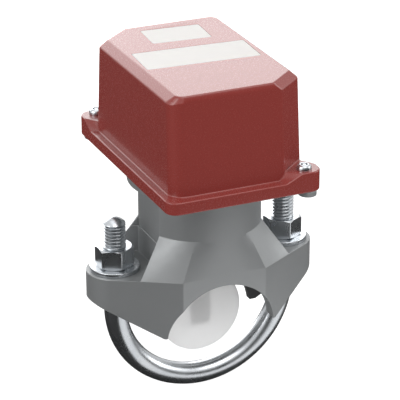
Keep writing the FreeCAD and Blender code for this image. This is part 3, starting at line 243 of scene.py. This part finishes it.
def carve(piece, tool):
    """Cuts a tool object's shape out of a piece, and deletes the tool."""
    modify(piece, "BOOLEAN", object=tool, operation="DIFFERENCE", solver="EXACT")
    bpy.data.objects.remove(tool)


def smooth(piece, degrees=30.0):
    """Smooth shading between faces that meet at less than the given angle, with wide flat faces kept flat."""
    select_only(piece)
    bpy.ops.object.shade_smooth_by_angle(angle=math.radians(degrees))
    modify(piece, "WEIGHTED_NORMAL", keep_sharp=True)


def round_edges(piece, width, segments=3, degrees=28.0, clamp=False):
    """Rounds every edge that turns by more than the given angle, within its faces where clamp is set."""
    modify(piece, "BEVEL", width=width, segments=segments, limit_method="ANGLE",
           angle_limit=math.radians(degrees), use_clamp_overlap=clamp,
           miter_outer="MITER_SHARP" if clamp else "MITER_ARC")
    smooth(piece)


def make_flat_faces_whole(piece):
    """Merges a piece's loose triangles and removes the lines that cross its flat faces."""
    edit(piece)
    bpy.ops.mesh.remove_doubles(threshold=2 * WELD)
    bpy.ops.mesh.customdata_custom_splitnormals_clear()
    bpy.ops.mesh.dissolve_limited(angle_limit=math.radians(0.6))
    leave_edit()


def copy_of(node, name):
    """A free copy of a CAD node's mesh, its loose triangles merged and its flat faces made whole."""
    piece = bpy.data.objects.new(name, frame["nodes"][node].data.copy())
    piece.data.name = name
    piece.data.materials.clear()
    bpy.context.scene.collection.objects.link(piece)
    make_flat_faces_whole(piece)
    return piece


# Material helpers

def linear(hex_colour):
    """Linear RGBA of an sRGB hex colour."""
    shades = [int(hex_colour[k:k + 2], 16) / 255 for k in (1, 3, 5)]
    return [s / 12.92 if s <= 0.04045 else ((s + 0.055) / 1.055) ** 2.4 for s in shades] + [1.0]


def add_node(tree, kind, settings=None, links=None):
    """Adds one node, sets its properties and sockets, and links sockets from other nodes' outputs."""
    node = tree.nodes.new(kind)
    for name, value in (settings or {}).items():
        if isinstance(name, int) or name in node.inputs:
            node.inputs[name].default_value = value
        else:
            setattr(node, name, value)
    for name, source in (links or {}).items():
        tree.links.new(source, node.inputs[name])
    return node


def new_finish(name, **sockets):
    """A material with its shader set, and the object's own coordinates to hang patterns on."""
    material = bpy.data.materials.new(name)
    material.use_nodes = True
    tree = material.node_tree
    shader = tree.nodes["Principled BSDF"]
    for socket, value in sockets.items():
        shader.inputs[socket.replace("_", " ")].default_value = value
    place = add_node(tree, "ShaderNodeTexCoord").outputs["Object"]
    return material, tree, shader, place


def patches(tree, shader, place, size_mm, first, second, detail=2.0):
    """Two near tones that drift over the surface in patches of a given size."""
    noise = add_node(tree, "ShaderNodeTexNoise", {"Scale": 1 / (size_mm * MM), "Detail": detail},
                     {"Vector": place})
    tone = add_node(tree, "ShaderNodeMix", {"data_type": "RGBA", 6: linear(first), 7: linear(second)},
                    {0: noise.outputs["Fac"]})
    tree.links.new(tone.outputs[2], shader.inputs["Base Color"])


def gloss_range(tree, shader, place, size_mm, low, high, detail=2.0):
    """Roughness that drifts between two values in patches of a given size."""
    noise = add_node(tree, "ShaderNodeTexNoise", {"Scale": 1 / (size_mm * MM), "Detail": detail},
                     {"Vector": place})
    drift = add_node(tree, "ShaderNodeMapRange", {"To Min": low, "To Max": high},
                     {"Value": noise.outputs["Fac"]})
    tree.links.new(drift.outputs["Result"], shader.inputs["Roughness"])


def grain(tree, shader, place, size_mm, height_mm, stretch=(1.0, 1.0, 1.0), detail=2.0):
    """Bump of a fine grain, with its size across and its height in millimetres."""
    turned = add_node(tree, "ShaderNodeMapping", {"Scale": stretch}, {"Vector": place})
    noise = add_node(tree, "ShaderNodeTexNoise", {"Scale": 1 / (size_mm * MM), "Detail": detail},
                     {"Vector": turned.outputs["Vector"]})
    bump = add_node(tree, "ShaderNodeBump", {"Strength": 1.0, "Distance": height_mm * MM},
                    {"Height": noise.outputs["Fac"]})
    tree.links.new(bump.outputs["Normal"], shader.inputs["Normal"])


# Finishes

def baked_enamel(colours):
    """Baked enamel on pressed steel: even and glossy, with the faint orange peel of a sprayed coat."""
    material, tree, shader, place = new_finish("baked_enamel", IOR=1.5, Coat_Weight=0.2, Coat_Roughness=0.08)
    patches(tree, shader, place, 0.5, colours.enamel_deep, colours.enamel)
    gloss_range(tree, shader, place, 0.6, 0.25, 0.29)
    grain(tree, shader, place, 0.5, 0.0008, detail=1.0)
    return material


def sand_cast_aluminium(colours):
    """Sand cast aluminium: dull grey, a fine grain from the mould and tones that drift in soft patches."""
    material, tree, shader, place = new_finish("sand_cast_aluminium", Metallic=0.55)
    patches(tree, shader, place, 22.0, colours.casting_dark, colours.casting, detail=4.0)
    gloss_range(tree, shader, place, 5.0, 0.46, 0.54)
    grain(tree, shader, place, 0.9, 0.02)
    return material


def bright_zinc(colours):
    """Bright zinc plate on rolled steel: mirror like with faint draw marks and cloudy gloss."""
    material, tree, shader, place = new_finish("bright_zinc", Metallic=1.0)
    patches(tree, shader, place, 16.0, colours.zinc_cloud, colours.zinc, detail=0.0)
    gloss_range(tree, shader, place, 8.0, 0.24, 0.32, detail=0.0)
    grain(tree, shader, place, 1.5, 0.002)
    return material


def zinc_sheet(colours):
    """Zinc plated sheet: duller than the bolts, with rolling marks along one way."""
    material, tree, shader, place = new_finish("zinc_sheet", Metallic=1.0)
    patches(tree, shader, place, 7.0, colours.zinc_dull, colours.zinc)
    gloss_range(tree, shader, place, 3.0, 0.3, 0.42)
    grain(tree, shader, place, 0.8, 0.01, stretch=(0.1, 1.0, 1.0))
    return material


def turned_stainless(colours):
    """Turned stainless steel: fine tool marks round the bar show as short streaks in the gloss."""
    material, tree, shader, place = new_finish("turned_stainless", Metallic=1.0)
    patches(tree, shader, place, 4.0, colours.steel, colours.zinc)
    gloss_range(tree, shader, place, 1.5, 0.22, 0.34)
    grain(tree, shader, place, 0.5, 0.008, stretch=(0.2, 0.2, 1.0))
    return material


def spring_wire(colours):
    """Drawn spring wire: bright, with a thin film of oil that clouds the gloss."""
    material, tree, shader, place = new_finish("spring_wire", Metallic=1.0)
    patches(tree, shader, place, 2.0, colours.steel, colours.zinc_dull)
    gloss_range(tree, shader, place, 0.8, 0.2, 0.3)
    grain(tree, shader, place, 0.4, 0.004)
    return material


def plain_brass(colours):
    """Turned brass: warm, slightly tarnished in patches, with a fine machined grain."""
    material, tree, shader, place = new_finish("plain_brass", Metallic=1.0)
    patches(tree, shader, place, 3.0, colours.brass_dull, colours.brass)
    gloss_range(tree, shader, place, 1.5, 0.24, 0.36)
    grain(tree, shader, place, 0.5, 0.006)
    return material


def moulded_rubber(colours):
    """Moulded black rubber: soft sheen, a fine matt grain from the mould."""
    material, tree, shader, place = new_finish("moulded_rubber", IOR=1.52, Sheen_Weight=0.15)
    patches(tree, shader, place, 6.0, colours.phenolic, colours.rubber)
    gloss_range(tree, shader, place, 2.0, 0.55, 0.7)
    grain(tree, shader, place, 0.5, 0.02)
    return material


def black_phenolic(colours):
    """Compression moulded phenolic: hard, black, satin, with flow marks in the gloss."""
    material, tree, shader, place = new_finish("black_phenolic", IOR=1.55)
    patches(tree, shader, place, 5.0, colours.phenolic, colours.rubber)
    gloss_range(tree, shader, place, 4.0, 0.32, 0.46)
    grain(tree, shader, place, 0.6, 0.008)
    return material


def white_nylon(colours):
    """Moulded white nylon: a little light goes into it, so its edges look soft."""
    material, tree, shader, place = new_finish("white_nylon", IOR=1.53, Subsurface_Weight=0.15,
                                               Subsurface_Scale=1.0 * MM)
    patches(tree, shader, place, 4.0, colours.nylon_shade, colours.nylon)
    gloss_range(tree, shader, place, 2.0, 0.3, 0.42)
    grain(tree, shader, place, 0.6, 0.006)
    return material


def milky_vane(colours):
    """Milky sheet plastic of the vane: a little light from behind comes through it."""
    material, tree, shader, place = new_finish("milky_vane", IOR=1.3, Subsurface_Weight=1.0,
                                               Subsurface_Scale=3.0 * MM, Subsurface_Radius=(1, 1, 1))
    patches(tree, shader, place, 9.0, colours.vane_shade, colours.vane)
    gloss_range(tree, shader, place, 3.0, 0.5, 0.56)
    grain(tree, shader, place, 2.0, 0.002)
    return material


def printed_film(colours):
    """Satin film of the blank plates: an even off-white with a faint mottle, like paper."""
    material, tree, shader, place = new_finish("printed_film", IOR=1.45)
    patches(tree, shader, place, 12.0, colours.plate_shade, colours.plate)
    gloss_range(tree, shader, place, 4.0, 0.5, 0.58)
    grain(tree, shader, place, 0.5, 0.003)
    return material


FINISHES = {
    "red_enamel": baked_enamel,
    "cast_aluminium": sand_cast_aluminium,
    "bright_zinc": bright_zinc,
    "zinc_sheet": zinc_sheet,
    "vane_plastic": milky_vane,
    "black_rubber": moulded_rubber,
    "black_moulding": black_phenolic,
    "white_moulding": white_nylon,
    "spring_steel": spring_wire,
    "stainless": turned_stainless,
    "brass": plain_brass,
}
made = {}


def finish_of(slot):
    """The material of one of the record's slots, made the first time that it is asked for."""
    if slot not in made:
        made[slot] = FINISHES[slot](bpy.context.scene.detector_colours)
    return made[slot]


def paint_nodes(*nodes):
    """Gives CAD nodes that stay in view the finish of their slot in the record."""
    slots = {entry["node"]: entry["material_slot"] for entry in frame["record"]["subparts"]}
    for node in nodes:
        mesh = frame["nodes"][node].data
        mesh.materials.clear()
        mesh.materials.append(finish_of(slots[node]))


def finish_piece(piece, body, slot, *nodes, material=None):
    """Gives a piece its finish, its body and the CAD nodes that it stands for."""
    piece.data.materials.clear()
    piece.data.materials.append(material or finish_of(slot))
    settle(piece)
    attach(piece, body)
    if nodes:
        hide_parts(*nodes)


# Blank plates on the cover's top: middle, size and turn, in metres and radians

PLATES = {
    "blank_plate_wide": {
        "middle": (-1.15 * MM, 1.4 * MM), "size": (64.5 * MM, 26.6 * MM), "turn": math.radians(-3.1)},
    "blank_plate_small": {
        "middle": (2.2 * MM, 36.8 * MM), "size": (34.0 * MM, 22.4 * MM), "turn": math.radians(-4.0)},
}
PLATE_CORNER = 1.2 * MM
SEAT_ABOVE = 1 * MM


def plate_block(name, grow, low, high):
    """Thin rounded block in a plate's place, grown all round by a margin."""
    place = PLATES[name]
    width, depth = (side + 2 * grow for side in place["size"])
    bpy.ops.object.select_all(action="DESELECT")
    bpy.ops.mesh.primitive_cube_add(size=1, location=(*place["middle"], (low + high) / 2),
                                    rotation=(0, 0, place["turn"]), scale=(width, depth, high - low))
    block = named(name)
    settle(block)
    edit(block)
    pick(block, "EDGE", lambda middle, way: abs(way.z) > 0.9)
    bpy.ops.mesh.bevel(offset=PLATE_CORNER + grow, segments=5, affect="EDGES")
    leave_edit()
    return block


class DETECTOR_OT_cover(bpy.types.Operator):
    """Makes the enamelled cover with its rounded edges and the seats of the two plates"""
    bl_idname = "detector.cover"
    bl_label = "Cover"

    def execute(self, context):
        sizes = context.scene.detector_sizes
        cover = copy_of("cover", "cover_shell")
        round_edges(cover, sizes.cover_edge, segments=4)
        for name in PLATES:
            carve(cover, plate_block(name, sizes.plate_gap, COVER_TOP - sizes.plate_thickness,
                                     COVER_TOP + SEAT_ABOVE))
        smooth(cover)
        finish_piece(cover, "root", "red_enamel", "cover")
        return {"FINISHED"}


class DETECTOR_OT_plates(bpy.types.Operator):
    """Makes the two blank plates that lie in the cover's top"""
    bl_idname = "detector.plates"
    bl_label = "Blank plates"

    def execute(self, context):
        sizes = context.scene.detector_sizes
        film = printed_film(context.scene.detector_colours)
        for name in PLATES:
            plate = plate_block(name, 0.0, COVER_TOP - sizes.plate_thickness, COVER_TOP - sizes.plate_sink)
            round_edges(plate, sizes.plate_edge, segments=2)
            finish_piece(plate, "root", "white_moulding", material=film)
        return {"FINISHED"}


CASTING_SHARP = math.radians(28)
CASTING_SMOOTH = 14


def soften_casting(piece, width):
    """Rounds the sharp edges of the casting's foot or head, but not where the one goes on in the other."""
    edit(piece)
    bpy.ops.mesh.select_mode(type="EDGE")
    bpy.ops.mesh.select_all(action="DESELECT")
    bpy.ops.mesh.edges_select_sharp(sharpness=CASTING_SHARP)
    bpy.ops.object.mode_set(mode="OBJECT")
    for line in piece.data.edges:
        if all(abs(piece.data.vertices[v].co.z - CASTING_SEAM) < 0.01 * MM for v in line.vertices):
            line.select = False
    bpy.ops.object.mode_set(mode="EDIT")
    bpy.ops.mesh.bevel(offset=width, segments=4, affect="EDGES", clamp_overlap=False, miter_outer="ARC")
    leave_edit()
    smooth(piece, CASTING_SMOOTH)


class DETECTOR_OT_casting(bpy.types.Operator):
    """Makes the sand cast body with edges as soft as a mould leaves them"""
    bl_idname = "detector.casting"
    bl_label = "Casting"

    def execute(self, context):
        sizes = context.scene.detector_sizes
        for node, name in (("saddle_casting", "casting_foot"), ("neck_casting", "casting_head")):
            piece = copy_of(node, name)
            soften_casting(piece, sizes.casting_edge)
            finish_piece(piece, "root", "cast_aluminium", node)
        return {"FINISHED"}


class DETECTOR_OT_gasket(bpy.types.Operator):
    """Makes the rubber gasket with its two feet, whose black is partly painted shade over the casting's
    shaded rib ends
    """
    bl_idname = "detector.gasket"
    bl_label = "Gasket"

    def execute(self, context):
        # The black along the arch is the gasket's own rubber; the black feet sit where the casting's rib ends
        # lie in shadow, a painted shade
        gasket = copy_of("saddle_gasket", "gasket_with_painted_shade_feet")
        round_edges(gasket, context.scene.detector_sizes.edge)
        finish_piece(gasket, "root", "black_rubber", "saddle_gasket")
        return {"FINISHED"}


ROD_SIDES = 36
BEND_STEPS = 64
TIP_RINGS = 48
THREAD_BELOW_WASHER = 6 * MM


def stud_thread(name, x, low, high, sizes):
    """Real screw thread on one stud: a profile of one pitch, swept round by a screw."""
    turns = math.ceil((high - low) / sizes.thread_pitch)
    pitch = (high - low) / turns
    bpy.ops.object.select_all(action="DESELECT")
    bpy.ops.mesh.primitive_plane_add(size=pitch, location=(0, 0, 0), rotation=(math.radians(90), 0, 0))
    thread = named(name)
    settle(thread)
    edit(thread)
    pick(thread, "VERT", lambda place, normal: place.x > 0)
    bpy.ops.mesh.delete(type="VERT")
    bpy.ops.mesh.select_all(action="SELECT")
    # Six points over one pitch: the outer two at the root, the next two half up, the middle two at the crest
    bpy.ops.mesh.subdivide(number_cuts=4)
    bpy.ops.transform.translate(value=(pitch / 2 + ROD_RADIUS - sizes.thread_depth, 0, pitch / 2))
    pick(thread, "VERT", lambda place, normal: 0.1 * pitch < place.z < 0.9 * pitch)
    bpy.ops.transform.translate(value=(sizes.thread_depth / 2, 0, 0))
    pick(thread, "VERT", lambda place, normal: 0.3 * pitch < place.z < 0.7 * pitch)
    bpy.ops.transform.translate(value=(sizes.thread_depth / 2, 0, 0))
    leave_edit()
    modify(thread, "SCREW", axis="Z", screw_offset=pitch, iterations=turns - 1, steps=ROD_SIDES,
           render_steps=ROD_SIDES, use_merge_vertices=True, merge_threshold=WELD)
    edit(thread)
    bpy.ops.mesh.remove_doubles(threshold=WELD)
    bpy.ops.mesh.fill_holes(sides=0)
    bpy.ops.mesh.select_all(action="SELECT")
    bpy.ops.mesh.normals_make_consistent(inside=False)
    leave_edit()
    thread.location = (x, 0, low)
    smooth(thread, 35)
    return thread


def stud_tip(name, x, low, high):
    """Domed end of one stud: a slice of a ball, as wide at its foot as the rod."""
    ball_radius = (ROD_RADIUS ** 2 + (high - low) ** 2) / (2 * (high - low))
    bpy.ops.object.select_all(action="DESELECT")
    bpy.ops.mesh.primitive_uv_sphere_add(segments=ROD_SIDES, ring_count=TIP_RINGS, radius=ball_radius,
                                         location=(x, 0, high - ball_radius))
    tip = named(name)
    settle(tip)
    edit(tip)
    bpy.ops.mesh.bisect(plane_co=(x, 0, low), plane_no=(0, 0, 1), use_fill=True, clear_inner=True)
    leave_edit()
    smooth(tip, 35)
    return tip


class DETECTOR_OT_clamp_rod(bpy.types.Operator):
    """Makes the bent clamp rod with the real threads and domed ends of its studs"""
    bl_idname = "detector.clamp_rod"
    bl_label = "Clamp rod"

    def execute(self, context):
        sizes = context.scene.detector_sizes
        thread_low = WASHER_BOTTOM - THREAD_BELOW_WASHER
        thread_high = ROD_HIGH.z - sizes.stud_tip
        bpy.ops.object.select_all(action="DESELECT")
        bpy.ops.mesh.primitive_circle_add(vertices=ROD_SIDES, radius=ROD_RADIUS,
                                          location=(STUD_X, 0, BEND_CENTRE_Z))
        rod = named("clamp_bend")
        settle(rod)
        edit(rod)
        bpy.ops.mesh.spin(steps=BEND_STEPS, angle=math.pi, center=(0, 0, BEND_CENTRE_Z), axis=(0, -1, 0),
                          dupli=False)
        pick(rod, "EDGE",
             lambda middle, way: abs(middle.z - BEND_CENTRE_Z) < 0.01 * MM and abs(way.z) < 0.001)
        bpy.ops.mesh.extrude_region_move(TRANSFORM_OT_translate={"value": (0, 0, thread_low - BEND_CENTRE_Z)})
        bpy.ops.mesh.select_all(action="SELECT")
        bpy.ops.mesh.remove_doubles(threshold=WELD)
        bpy.ops.mesh.fill_holes(sides=0)
        bpy.ops.mesh.normals_make_consistent(inside=False)
        leave_edit()
        smooth(rod, 40)
        finish_piece(rod, "clamp_rod", "bright_zinc", "u_bolt")
        for side, x in (("left", -STUD_X), ("right", STUD_X)):
            thread = stud_thread("stud_thread_" + side, x, thread_low, thread_high, sizes)
            finish_piece(thread, "clamp_rod", "bright_zinc", "u_bolt")
            tip = stud_tip("stud_tip_" + side, x, thread_high, ROD_HIGH.z)
            finish_piece(tip, "clamp_rod", "bright_zinc", "u_bolt")
        return {"FINISHED"}


class DETECTOR_OT_nuts(bpy.types.Operator):
    """Makes the nuts and washers with broken edges"""
    bl_idname = "detector.nuts"
    bl_label = "Nuts and washers"

    def execute(self, context):
        sizes = context.scene.detector_sizes
        for side in ("left", "right"):
            nut = copy_of("nut_" + side, "hex_nut_" + side)
            round_edges(nut, sizes.edge, degrees=35, clamp=True)
            finish_piece(nut, side + "_nut", "bright_zinc", "nut_" + side)
            washer = copy_of("washer_" + side, "flat_washer_" + side)
            round_edges(washer, sizes.washer_edge)
            finish_piece(washer, "root", "bright_zinc", "washer_" + side)
        return {"FINISHED"}


class DETECTOR_OT_cover_screws(bpy.types.Operator):
    """Makes the two button head screws that hold the cover"""
    bl_idname = "detector.cover_screws"
    bl_label = "Cover screws"

    def execute(self, context):
        for place in ("front", "rear"):
            screw = copy_of("cover_screw_" + place, "button_screw_" + place)
            round_edges(screw, context.scene.detector_sizes.screw_edge, degrees=25)
            finish_piece(screw, "root", "bright_zinc", "cover_screw_" + place)
        return {"FINISHED"}


class DETECTOR_OT_vane(bpy.types.Operator):
    """Makes the milky vane and finishes the stem that carries it"""
    bl_idname = "detector.vane"
    bl_label = "Vane"

    def execute(self, context):
        disc = copy_of("vane_disc", "vane_sheet")
        round_edges(disc, context.scene.detector_sizes.vane_edge)
        finish_piece(disc, "vane", "vane_plastic", "vane_disc")
        stem = copy_of("vane_stem", "stem_and_blade")
        round_edges(stem, context.scene.detector_sizes.edge)
        finish_piece(stem, "vane", "stainless", "vane_stem")
        paint_nodes("vane_clamp", "vane_rivets")
        return {"FINISHED"}


class DETECTOR_OT_pivot(bpy.types.Operator):
    """Finishes the stem's seal, its retainer and the pivot"""
    bl_idname = "detector.pivot"
    bl_label = "Seal and pivot"

    def execute(self, context):
        paint_nodes("stem_seal", "seal_retainer", "retainer_screws", "pivot_pin", "trip_lever", "lever_pin")
        return {"FINISHED"}


class DETECTOR_OT_mechanism(bpy.types.Operator):
    """Finishes the bracket, the retard cylinder, its dial and the switches"""
    bl_idname = "detector.mechanism"
    bl_label = "Mechanism"

    def execute(self, context):
        paint_nodes("retard_plunger", "actuator_arm", "arm_clips", "retard_spring", "retard_housing",
                    "retard_screws", "retard_dial", "mechanism_bracket", "bracket_screws")
        paint_nodes("switch_body_left", "switch_body_right", "switch_button_left", "switch_button_right",
                    "switch_screws", "terminal_screws")
        return {"FINISHED"}


class DETECTOR_OT_base(bpy.types.Operator):
    """Finishes the base plate, its screws and the cover's seal"""
    bl_idname = "detector.base"
    bl_label = "Base"

    def execute(self, context):
        plate = copy_of("base_plate", "base_plate_cast")
        round_edges(plate, context.scene.detector_sizes.edge)
        finish_piece(plate, "root", "cast_aluminium", "base_plate")
        paint_nodes("base_plate_screws", "earth_screw", "cover_seal")
        return {"FINISHED"}


# Studio

def area_light(name, place, target, width, depth, power):
    """Soft lamp at a place, turned to its target."""
    light = bpy.data.lights.new(name, "AREA")
    light.shape = "RECTANGLE"
    light.size = width
    light.size_y = depth
    light.energy = power
    lamp = bpy.data.objects.new(name, light)
    bpy.context.scene.collection.objects.link(lamp)
    lamp.location = place
    lamp.rotation_euler = (Vector(target) - Vector(place)).to_track_quat("-Z", "Y").to_euler()


def seen_directly(tree):
    """1 for what the camera sees, also in a mirror or through the vane, and 0 for light."""
    ray = add_node(tree, "ShaderNodeLightPath")
    mirrored = add_node(tree, "ShaderNodeMath", {"operation": "MAXIMUM"},
                        {0: ray.outputs["Is Camera Ray"], 1: ray.outputs["Is Glossy Ray"]})
    either = add_node(tree, "ShaderNodeMath", {"operation": "MAXIMUM"},
                      {0: mirrored.outputs[0], 1: ray.outputs["Is Transmission Ray"]})
    return either.outputs[0]


def studio_world(strength):
    """Soft light from all round, seen as plain white."""
    world = bpy.data.worlds.new("studio")
    bpy.context.scene.world = world
    world.use_nodes = True
    tree = world.node_tree
    soft = tree.nodes["Background"]
    soft.inputs["Color"].default_value = (1, 1, 1, 1)
    soft.inputs["Strength"].default_value = strength
    white = add_node(tree, "ShaderNodeBackground", {"Color": (1, 1, 1, 1), "Strength": 1.0})
    mixed = add_node(tree, "ShaderNodeMixShader", None,
                     {0: seen_directly(tree), 1: soft.outputs[0], 2: white.outputs[0]})
    tree.links.new(mixed.outputs[0], tree.nodes["World Output"].inputs["Surface"])


def studio_floor(colours, height):
    """Pale matt floor that is seen as white, apart from the object's shadow."""
    bpy.ops.object.select_all(action="DESELECT")
    bpy.ops.mesh.primitive_plane_add(size=FLOOR_SIZE, location=(0, 0, height))
    floor = named("studio_floor")
    material = bpy.data.materials.new("matt_paper")
    material.use_nodes = True
    tree = material.node_tree
    shader = tree.nodes["Principled BSDF"]
    shader.inputs["Base Color"].default_value = linear(colours.floor)
    shader.inputs["Roughness"].default_value = 0.9
    glow = add_node(tree, "ShaderNodeEmission", {"Color": (1, 1, 1, 1), "Strength": FLOOR_GLOW})
    both = add_node(tree, "ShaderNodeAddShader", None, {0: shader.outputs[0], 1: glow.outputs[0]})
    mixed = add_node(tree, "ShaderNodeMixShader", None,
                     {0: seen_directly(tree), 1: shader.outputs[0], 2: both.outputs[0]})
    tree.links.new(mixed.outputs[0], tree.nodes["Material Output"].inputs["Surface"])
    floor.data.materials.append(material)


def card_paper(tone):
    """Matt black card: dark and without any gloss."""
    material = bpy.data.materials.new("matt_black_card")
    material.use_nodes = True
    shader = material.node_tree.nodes["Principled BSDF"]
    shader.inputs["Base Color"].default_value = linear(tone)
    shader.inputs["Roughness"].default_value = 1.0
    shader.inputs["Specular IOR Level"].default_value = 0.0
    return material


def black_card(name, paper, low, high, height, rise):
    """Dark card on the floor, as a studio lays one, its near end propped up: only reflections show it."""
    bpy.ops.object.select_all(action="DESELECT")
    middle = [(a + b) / 2 for a, b in zip(low, high)]
    bpy.ops.mesh.primitive_plane_add(size=1, location=(*middle, height))
    card = named(name)
    card.scale = (high[0] - low[0], high[1] - low[1], 1)
    settle(card)
    edit(card)
    pick(card, "VERT", lambda place, normal: place.y < middle[1])
    bpy.ops.transform.translate(value=(0, 0, rise))
    leave_edit()
    card.data.materials.append(paper)
    card.visible_camera = False
    card.visible_diffuse = False
    card.visible_shadow = False
    card.visible_transmission = False


def photo_camera(view):
    """Camera at the photograph's place, turned so that it looks at the aim point."""
    camera = bpy.data.objects.new("camera", bpy.data.cameras.new("camera"))
    bpy.context.scene.collection.objects.link(camera)
    camera.data.lens = view.lens
    camera.data.sensor_width = 36.0
    back = Vector((-math.sin(view.yaw) * math.cos(view.elevation),
                   -math.cos(view.yaw) * math.cos(view.elevation), math.sin(view.elevation)))
    right = Vector((math.cos(view.yaw), -math.sin(view.yaw), 0))
    up = back.cross(right)
    turn = Matrix((right, up, back)).transposed() @ Matrix.Rotation(view.roll, 3, "Z")
    camera.matrix_world = Matrix.Translation(Vector(view.aim) + back * view.distance) @ turn.to_4x4()
    bpy.context.scene.camera = camera


WORLD_LIGHT = 0.3
FLOOR_SIZE = 12.0
FLOOR_GLOW = 0.5
FLOOR_DROP = 14 * MM
CARD_LIFT = 2 * MM

# Dark cards on the floor round a pale patch in front, in metres: name, two corners, rise of the near end

BLACK_CARDS = (
    ("card_behind", (-1.4, -0.035), (1.4, 1.4), 0.0),
    ("card_left", (-1.4, -1.4), (-0.04, -0.035), 0.0),
    ("card_right", (0.2, -1.4), (1.4, -0.035), 0.0),
    ("card_front", (-0.8, -1.2), (0.8, -0.3), 0.55),
)

# Lamps: name, place, target, width and depth in metres, power in watts

LAMPS = (
    ("front_softbox", (0.1, -0.75, 1.05), (0, 0, 0.06), 0.8, 0.8, 5.5),
    ("left_softbox", (-1.0, -0.25, 0.55), (0, 0, 0.06), 0.6, 0.6, 5.0),
    ("right_softbox", (1.0, -0.35, 0.5), (0, 0, 0.06), 0.6, 0.6, 4.5),
    ("top_softbox", (0.0, 0.0, 1.2), (0, 0, 0.08), 0.9, 0.9, 2.0),
    ("low_rear_softbox", (0.0, 0.8, 0.14), (0, 0, 0), 0.5, 0.3, 2.5),
    ("rear_softbox", (0.05, 1.1, 0.62), (0, 0, 0.15), 1.3, 0.5, 4.5),
)


class DETECTOR_OT_stage(bpy.types.Operator):
    """Makes the camera, the lamps, the world and the floor"""
    bl_idname = "detector.stage"
    bl_label = "Stage"

    def execute(self, context):
        scene = context.scene
        scene.view_settings.view_transform = "Standard"
        photo_camera(scene.detector_camera)
        floor_height = CAD_BOX[0][2] - FLOOR_DROP
        studio_world(WORLD_LIGHT)
        studio_floor(scene.detector_colours, floor_height)
        paper = card_paper(scene.detector_colours.card)
        for name, low, high, rise in BLACK_CARDS:
            black_card(name, paper, low, high, floor_height + CARD_LIFT, rise)
        for lamp in LAMPS:
            area_light(*lamp)
        return {"FINISHED"}


class DETECTOR_PT_panel(bpy.types.Panel):
    """Lists the operators of the detector"""
    bl_idname = "DETECTOR_PT_panel"
    bl_label = "Water flow detector"
    bl_space_type = "VIEW_3D"
    bl_region_type = "UI"
    bl_category = "Detector"

    def draw(self, context):
        scene = context.scene
        for group in (scene.detector_sizes, scene.detector_colours, scene.detector_camera):
            box = self.layout.box()
            for name in group.__annotations__:
                box.prop(group, name)
        for operator in OPERATORS:
            self.layout.operator(operator.bl_idname)


GROUPS = (DetectorSizes, DetectorColours, DetectorCamera)
OPERATORS = (DETECTOR_OT_cover, DETECTOR_OT_plates, DETECTOR_OT_casting, DETECTOR_OT_gasket,
             DETECTOR_OT_clamp_rod, DETECTOR_OT_nuts, DETECTOR_OT_cover_screws, DETECTOR_OT_vane,
             DETECTOR_OT_pivot, DETECTOR_OT_mechanism, DETECTOR_OT_base, DETECTOR_OT_stage)


def register():
    for kind in GROUPS + OPERATORS + (DETECTOR_PT_panel,):
        bpy.utils.register_class(kind)
    bpy.types.Scene.detector_sizes = bpy.props.PointerProperty(type=DetectorSizes)
    bpy.types.Scene.detector_colours = bpy.props.PointerProperty(type=DetectorColours)
    bpy.types.Scene.detector_camera = bpy.props.PointerProperty(type=DetectorCamera)


def unregister():
    del bpy.types.Scene.detector_camera
    del bpy.types.Scene.detector_colours
    del bpy.types.Scene.detector_sizes
    for kind in reversed(GROUPS + OPERATORS + (DETECTOR_PT_panel,)):
        bpy.utils.unregister_class(kind)


def main():
    register()
    bpy.ops.detector.cover()
    bpy.ops.detector.plates()
    bpy.ops.detector.casting()
    bpy.ops.detector.gasket()
    bpy.ops.detector.clamp_rod()
    bpy.ops.detector.nuts()
    bpy.ops.detector.cover_screws()
    bpy.ops.detector.vane()
    bpy.ops.detector.pivot()
    bpy.ops.detector.mechanism()
    bpy.ops.detector.base()
    bpy.ops.detector.stage()


if __name__ == "__main__":
    main()
